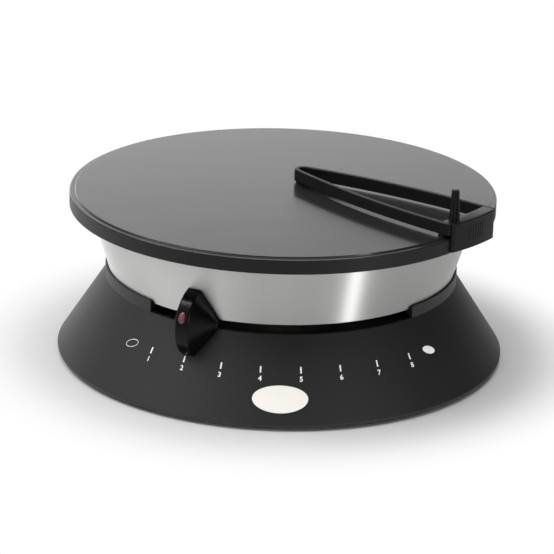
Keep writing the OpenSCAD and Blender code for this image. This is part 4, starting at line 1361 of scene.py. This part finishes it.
@dataclass
class Spreader:
    """The batter spreader: a leaf-shaped frame, the rim guide with its hook, and the finger peg."""

    tip: tuple[float, float] = (17.011, 17.493)
    azimuth: float = 49.0
    guide_in: float = 166.423
    hook_in: float = 176.023
    hook_out: float = 178.423
    half: float = 30.0
    tip_r: float = 8.0
    wall: float = 4.0
    step: float = 3.0
    disc_z: float = 139.0
    foot_gap: float = 2.2
    slant: float = 0.8
    wall_top: float = 11.7
    hook_drop: float = 12.0
    corner: float = 2.5
    peg_h: float = 25.7
    peg_w: float = 10.0
    peg_tip: float = 0.64
    peg_core: float = 2.0
    peg_u: float = -4.7
    peg_v: float = -19.8
    peg_bar: float = 0.9
    peg_crown: float = 0.9
    ribs: int = 7
    rib_pitch: float = 3.0
    rib_w: float = 0.65
    rib_out: float = 0.45

    def placed(self, u: Any, v: Any, z: Any) -> np.ndarray:
        """Points of the spreader's own frame, u from its tip outwards and v to its left, in place."""
        return aimed(self.azimuth, u, v, z, self.tip)

    def path(self) -> tuple[np.ndarray, np.ndarray]:
        """The walls' middle line from one end round the tip to the other, with its outward normals.

        Each wall is an arc about (guide_in, -rise) or its mirror, and the tip is an arc about the origin
        that touches both.

        Returns:
            Points and normals, each (n, 2).
        """
        bow = (self.guide_in ** 2 + self.half ** 2 - self.tip_r ** 2) / (2 * (self.half - self.tip_r))
        rise = bow - self.half
        mid = bow - self.wall / 2
        start = math.acos((self.hook_in - 2.0 - self.guide_in) / mid)
        join = math.pi - math.acos(self.guide_in / (bow - self.tip_r))
        side = np.linspace(start, join, 70)
        nose = np.linspace(join, TAU - join, 45)[1:-1]
        side_n, nose_n = arc(1.0, side), arc(1.0, nose)
        side_p = np.array([self.guide_in, -rise]) + mid * side_n
        nose_p = (self.tip_r - self.wall / 2) * nose_n
        flip = np.array([1.0, -1.0])
        points = np.concatenate([side_p, nose_p, (side_p * flip)[::-1]])
        normals = np.concatenate([side_n, nose_n, (side_n * flip)[::-1]])
        return points, normals

    def guide(self, inset: float, inner: float) -> np.ndarray:
        """The rim guide's outline: arcs about the tip, two rounded outer corners and two inner ones.

        Args:
            inset: How far the outline is drawn in.
            inner: Radius of the inner arc.

        Returns:
            The closed outline as (n, 2) points, equally many for any inset.
        """
        half = self.half - self.step - inset
        outer = self.hook_out - inset
        corner = self.corner - inset * 0.9
        flat = half - corner
        centre_u = math.sqrt((outer - corner) ** 2 - flat ** 2)
        tilt = math.atan2(flat, centre_u)
        inside = math.asin(half / inner)
        low = arc(inner, np.linspace(-inside, inside, 41))
        right = np.array([centre_u, flat]) + arc(corner, np.linspace(math.pi / 2, tilt, 9))
        far = arc(outer, np.linspace(tilt, -tilt, 57)[1:-1])
        left = (right * np.array([1.0, -1.0]))[::-1]
        return np.concatenate([low, right, far, left])

    def build(self) -> None:
        """Builds the frame with its guide, the grip ribs and the peg.

        The frame is a rounded section carried along the path, and the guide is a stack of outlines.
        """
        top = self.disc_z + self.wall_top
        foot = self.disc_z + self.foot_gap
        hook = self.disc_z - self.hook_drop
        points, normals = self.path()
        t = self.wall / 2
        section = rounded([(-t, foot, 0.5), (t, foot, 0.5), (t, top, 0.75), (-t, top, 0.75)], 4, 0.1)
        u, v = (points[:, None, k] + normals[:, None, k] * section[None, :, 0] for k in (0, 1))
        # The far wall's foot stands lower by the slant, which runs out round the tip
        lower = self.slant * np.clip(0.5 + 0.5 * points[:, 1] / self.tip_r, 0.0, 1.0)
        under = section[:, 1] < self.disc_z + self.wall_top / 2
        shape = Shape().tube(self.placed(u, v, section[None, :, 1] - lower[:, None] * under[None, :]))
        h, g = self.hook_in, self.guide_in
        # Each row is the outline's inset, its height and its inner radius
        rows = [(0.6, hook, h + 0.5), (0.18, hook + 0.18, h + 0.15), (0.0, hook + 0.6, h),
                (0.0, hook + 0.75, h), (0.0, foot - 0.6, h), (0.0, foot - 0.45, h),
                (0.0, foot - 0.1, h - 0.1), (0.0, foot, h - 0.45), (0.0, foot, g + 0.5),
                (0.0, foot + 0.15, g + 0.12), (0.0, foot + 0.5, g), (0.0, top - 0.85, g),
                (0.0, top - 0.7, g), (0.05, top - 0.42, g + 0.05), (0.2, top - 0.2, g + 0.2),
                (0.42, top - 0.05, g + 0.42), (0.7, top, g + 0.7)]
        shape.tube(np.stack([self.placed(*self.guide(inset, inner).T, z) for inset, z, inner in rows]))
        piece = shape.build("spreader_moulding", SPREADER, Body.SPREADER, "spreader_plastic")
        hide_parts("spreader_frame")
        self.grip_ribs(hook + 5.0, top - 4.5)
        self.peg(top)

    def grip_ribs(self, low: float, high: float) -> None:
        """Low upright ribs on the guide's outer face: oval tubes that swell in from their ends.

        Args:
            low: Height of their lower ends.
            high: Height of their upper ends.
        """
        shape = Shape()
        z = np.linspace(low, high, 25)[:, None]
        swell = np.sqrt(np.clip(1.0 - np.abs(np.linspace(-1.0, 1.0, 25)) ** 8, 0.0, 1.0))[:, None]
        turn = circle(16)[None, :]
        for k in range(self.ribs):
            middle = (k - self.ribs // 2) * self.rib_pitch / self.hook_out
            r = self.hook_out - 0.1 + self.rib_out * swell * np.cos(turn)
            a = middle + self.rib_w * (0.2 + 0.8 * swell) * np.sin(turn) / self.hook_out
            shape.tube(self.placed(r * np.cos(a), r * np.sin(a), z))
        shape.build("guide_ribs", SPREADER, Body.SPREADER, "spreader_plastic")

    def peg(self, top: float) -> None:
        """A tapered peg whose section is two crossed bars, with a flared foot and a rounded top.

        Each bar is a superellipse, and the section is the soft greatest of the two bars and a core:
        the powers of their radii are added and the root is taken.

        Args:
            top: Height of the guide's top.
        """
        turn = circle(120)[None, :]
        neck = self.peg_h - self.peg_crown
        rise = np.concatenate([[-2.0, -0.5, 0.05, 0.4], np.linspace(0.9, neck, 24),
                               neck + self.peg_crown * np.sin(np.linspace(0.1, math.pi / 2, 8))])[:, None]
        taper = self.peg_w / 2 * (1.0 - (1.0 - self.peg_tip) * np.clip(rise / self.peg_h, 0.0, 1.0))
        flare = 0.45 * np.exp(-np.clip(rise, 0.0, None) / 0.35)
        long, short, core = taper + flare, self.peg_bar + flare, self.peg_core + flare
        c, s = np.abs(np.cos(turn)) + 1e-6, np.abs(np.sin(turn)) + 1e-6
        power = 14.0
        along = ((c / long) ** power + (s / short) ** power) ** (-1.0 / power)
        across = ((s / long) ** power + (c / short) ** power) ** (-1.0 / power)
        radius = (along ** power + across ** power + core ** power) ** (1.0 / power)
        crown = np.clip((rise - neck) / self.peg_crown, 0.0, 1.0)
        radius = radius - self.peg_crown * (1.0 - np.sqrt(1.0 - crown ** 2 * 0.999))
        u = self.hook_in + self.peg_u + radius * np.cos(turn)
        v = self.peg_v + radius * np.sin(turn)
        piece = Shape().tube(self.placed(u, v, top + rise)).build(
            "finger_pin", SPREADER, Body.SPREADER, "spreader_plastic")
        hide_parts("finger_peg")


# ---------------------------------------------------------------- inner pieces


def dress_nodes() -> None:
    """Gives every CAD node the finish of its material slot."""
    for entry in frame["record"]["subparts"]:
        node = frame["nodes"][entry["node"]]
        finish = NODE_FINISH.get(entry["node"], SLOT_FINISH.get(entry["material_slot"], HANDLE))
        node.data.materials.clear()
        node.data.materials.append(finish.material())
        LOG.info("%s: finish %s", entry["node"], finish.name)


# ---------------------------------------------------------------- studio


@dataclass(frozen=True)
class Lamp:
    """An area lamp that faces the object: its place and size in metres and its power in watts."""

    name: str
    place: tuple[float, float, float]
    size: tuple[float, float]
    power: float

    def build(self) -> None:
        """Makes the lamp, turned to the object and unseen by the camera."""
        light = bpy.data.lights.new(self.name, "AREA")
        light.shape = "RECTANGLE"
        light.size, light.size_y = self.size
        light.energy = self.power
        lamp = add_object(self.name, light)
        back = np.array(self.place) - np.array([0.0, 0.0, 0.09])
        back /= np.linalg.norm(back)
        right = np.cross([0.0, 0.0, 1.0], back)
        right /= np.linalg.norm(right)
        turned = np.eye(4)
        turned[:3] = np.stack([right, np.cross(back, right), back, self.place], 1)
        lamp.matrix_world = Matrix(turned.tolist())
        lamp.visible_camera = False


@dataclass
class Studio:
    """A pale floor, a soft world and four lamps."""

    floor_r: float = 9.0
    floor_tone: float = 0.80
    seen_tone: float = 0.62
    # Painted shade in the floor's reflections: the front's tone and how much darker the left and right are
    # painted
    front_painted_shade_tone: float = 0.60
    left_painted_shade: float = 0.16
    right_painted_shade: float = 0.42
    paper_near: float = 0.20
    paper_far: float = 0.28
    low_light: float = 0.05
    behind_light: float = 2.78
    left_light: float = 0.60
    patch_light: float = 0.75
    sky_light: float = 0.34
    sky_rise: float = 0.48
    lamps: tuple[Lamp, ...] = (
        Lamp("top_softbox", (0.02, -0.06, 1.35), (1.1, 1.1), 15.5),
        Lamp("key_softbox", (-1.35, -0.20, 1.00), (0.7, 0.7), 2.0),
        Lamp("glint_strip", (-0.875, -0.20, 1.24), (1.0, 0.07), 8.0),
        Lamp("streak_strip", (0.998, -1.12, 0.18), (0.13, 0.32), 4.6),
    )

    def build(self) -> None:
        """Makes the floor, the world and the lamps."""
        self.floor()
        self.world()
        for lamp in self.lamps:
            lamp.build()

    @staticmethod
    def rays(s: Shade, *kinds: str) -> list[Sock]:
        """Light Path's 1 or 0 for each kind of ray, by its name."""
        return [s.node("ShaderNodeLightPath", out=f"Is {kind} Ray") for kind in kinds]

    def floor(self) -> None:
        """A wide flat disc that is white paper to the camera, away from the object, pale to light, and has
        painted shade where glossy rays see it.
        """
        steps = 96
        ring = xyz(*self.floor_r * arc(1.0, np.radians(full_turn(steps))).T, 0.0)
        mesh = bpy.data.meshes.new("studio_floor")
        mesh.from_pydata(ring.tolist(), [], [list(range(steps))])
        floor = add_object("studio_floor", mesh)
        paper = bpy.data.materials.new("paper_floor")
        paper.use_nodes = True
        s = Shade(paper.node_tree)
        camera, glossy = self.rays(s, "Camera", "Glossy")
        point = s.point()
        x, y, _ = s.axes(point)
        tone = self.floor_tone + s.noise(point, 3.0, 2.0).swing(0.004)
        # Painted shade: to glossy rays the floor in front of the object, and parts of both sides, is painted
        # darker than the rest
        gloss_with_painted_shade = self.front_painted_shade_tone + (1.0 - self.front_painted_shade_tone) * y.step(-0.65, -0.15)
        gloss_with_painted_shade = gloss_with_painted_shade * (1.0 - self.left_painted_shade * x.step(-0.05, -0.40))
        gloss_with_painted_shade = gloss_with_painted_shade * (1.0 - self.right_painted_shade * x.window(0.05, 0.45, 0.52, 0.80))
        shown = camera * self.seen_tone + glossy * gloss_with_painted_shade
        seen = (camera + glossy).math("MINIMUM", 1.0)
        colour = s.mix(seen, s.vector(tone, tone, tone), s.vector(shown, shown, shown))
        matt = s.node("ShaderNodeBsdfDiffuse", links={"Color": colour})
        white = s.node("ShaderNodeEmission", links={"Color": (1.0, 1.0, 1.0, 1.0), "Strength": 1.0})
        # Far from the object the lamps fade, so there the camera sees plain white paper
        away = ((x * x + y * y) ** 0.5).step(self.paper_near, self.paper_far) * camera
        s.end(s.node("ShaderNodeMixShader", links={0: away, 1: matt, 2: white}))
        mesh.materials.append(paper)

    def world(self) -> None:
        """White to the camera; a plain ring of sky to matt colours; a lit studio to glossy ones."""
        world = bpy.data.worlds.new("studio")
        world.use_nodes = True
        bpy.context.scene.world = world
        s = Shade(world.node_tree)
        # In a world, Generated is the direction looked in, of length 1
        x, y, z = s.axes(s.node("ShaderNodeTexCoord", out="Generated"))
        camera, through, matt = self.rays(s, "Camera", "Transmission", "Diffuse")
        behind = y.step(0.3, 0.9) * x.step(0.80, -0.35) * x.step(-0.95, -0.25) * z.step(0.44, 0.12)
        wall = 1.65 - 0.90 * y.step(-0.7, 0.3) + 0.55 * y.step(0.3, 0.8)
        left = x.step(-0.15, -0.75) * z.step(0.98, 0.60) * wall
        # A soft patch over the streak lamp, halfway from the front to the right
        ahead, aside = ((x - y) * math.sqrt(0.5), (x + y) * math.sqrt(0.5))
        patch = ahead.step(0.40, 0.62) * aside.window(-0.34, 0.0, 0.0, 0.34)
        patch = patch * z.window(0.15, 0.40, 0.65, 0.88)
        lit = behind * self.behind_light + left * self.left_light + patch * self.patch_light
        lit = lit + self.low_light
        # Colours are lit by a ring of sky at middle height, stronger behind and at the left
        slope = (y * 0.45 - x * 0.9).step(-0.9, 0.9)
        ring = z.window(0.05, 0.30, 0.75, 0.97) * (self.sky_light + self.sky_rise * slope)
        tone = ring * matt + lit * (1.0 - matt)
        white = (camera + through).math("MINIMUM", 1.0)
        strength = white + tone * (1.0 - white)
        back = s.node("ShaderNodeBackground", links={"Color": (1.0, 1.0, 1.0, 1.0), "Strength": strength})
        s.end(back, "ShaderNodeOutputWorld")


@dataclass
class Viewpoint:
    """The camera: its place round the cooking disc's middle, and where that middle falls in the frame."""

    focal_px: float = 2829.0
    frame_px: float = 554.0
    distance: float = 2322.84
    elevation: float = 17.92
    roll: float = -1.57
    azimuth: float = 0.70
    middle_px: tuple[float, float] = (283.22, 188.14)
    middle_z: float = 139.0
    sensor: float = 36.0

    def build(self) -> None:
        """Looks at the middle, swings until it falls on its pixel, rolls and makes the camera."""
        e = math.radians(self.elevation)
        place = self.distance * np.array([0.0, -math.cos(e), math.sin(e)])
        forward = -place / self.distance
        right = np.array([1.0, 0.0, 0.0])
        look = np.array([right, np.cross(right, forward), forward])
        half = self.frame_px / 2
        aim = np.array([self.middle_px[0] - half, half - self.middle_px[1], self.focal_px])
        aim /= np.linalg.norm(aim)
        axis = np.cross([0.0, 0.0, 1.0], aim)
        k = np.array([[0, -axis[2], axis[1]], [axis[2], 0, -axis[0]], [-axis[1], axis[0], 0]])
        swing = np.eye(3) + k + k @ k / (1.0 + aim[2])
        look = swing @ self.turn_z(self.roll) @ look
        home = self.turn_z(-self.azimuth)
        pose = np.eye(4)
        pose[:3, 0], pose[:3, 1], pose[:3, 2] = home @ look[0], home @ look[1], -(home @ look[2])
        pose[:3, 3] = (home @ place + np.array([0.0, 0.0, self.middle_z])) * MM
        lens = bpy.data.cameras.new("front_camera")
        lens.sensor_width = self.sensor
        lens.lens = self.sensor * self.focal_px / self.frame_px
        lens.clip_start, lens.clip_end = 0.05, 60.0
        camera = add_object("front_camera", lens)
        camera.matrix_world = Matrix(pose.tolist())
        bpy.context.scene.camera = camera

    @staticmethod
    def turn_z(angle: float) -> np.ndarray:
        """The rotation about Z by an angle in degrees."""
        c, s = math.cos(math.radians(angle)), math.sin(math.radians(angle))
        return np.array([[c, -s, 0.0], [s, c, 0.0], [0.0, 0.0, 1.0]])


# ---------------------------------------------------------------- main


def main() -> None:
    """Builds the pieces, the studio and the camera, in that order."""
    logging.basicConfig(level=logging.INFO, format="%(name)s: %(message)s")
    dress_nodes()
    walls = Walls()
    assemblies: tuple[Assembly, ...] = (
        Griddle(), Band(walls), Base(walls), Dial(walls), Badge(walls), Underside(), Knob(walls), Spreader(),
        Studio(), Viewpoint())
    for assembly in assemblies:
        assembly.build()
    bpy.context.scene.view_settings.view_transform = "Standard"


if __name__ == "__main__":
    main()
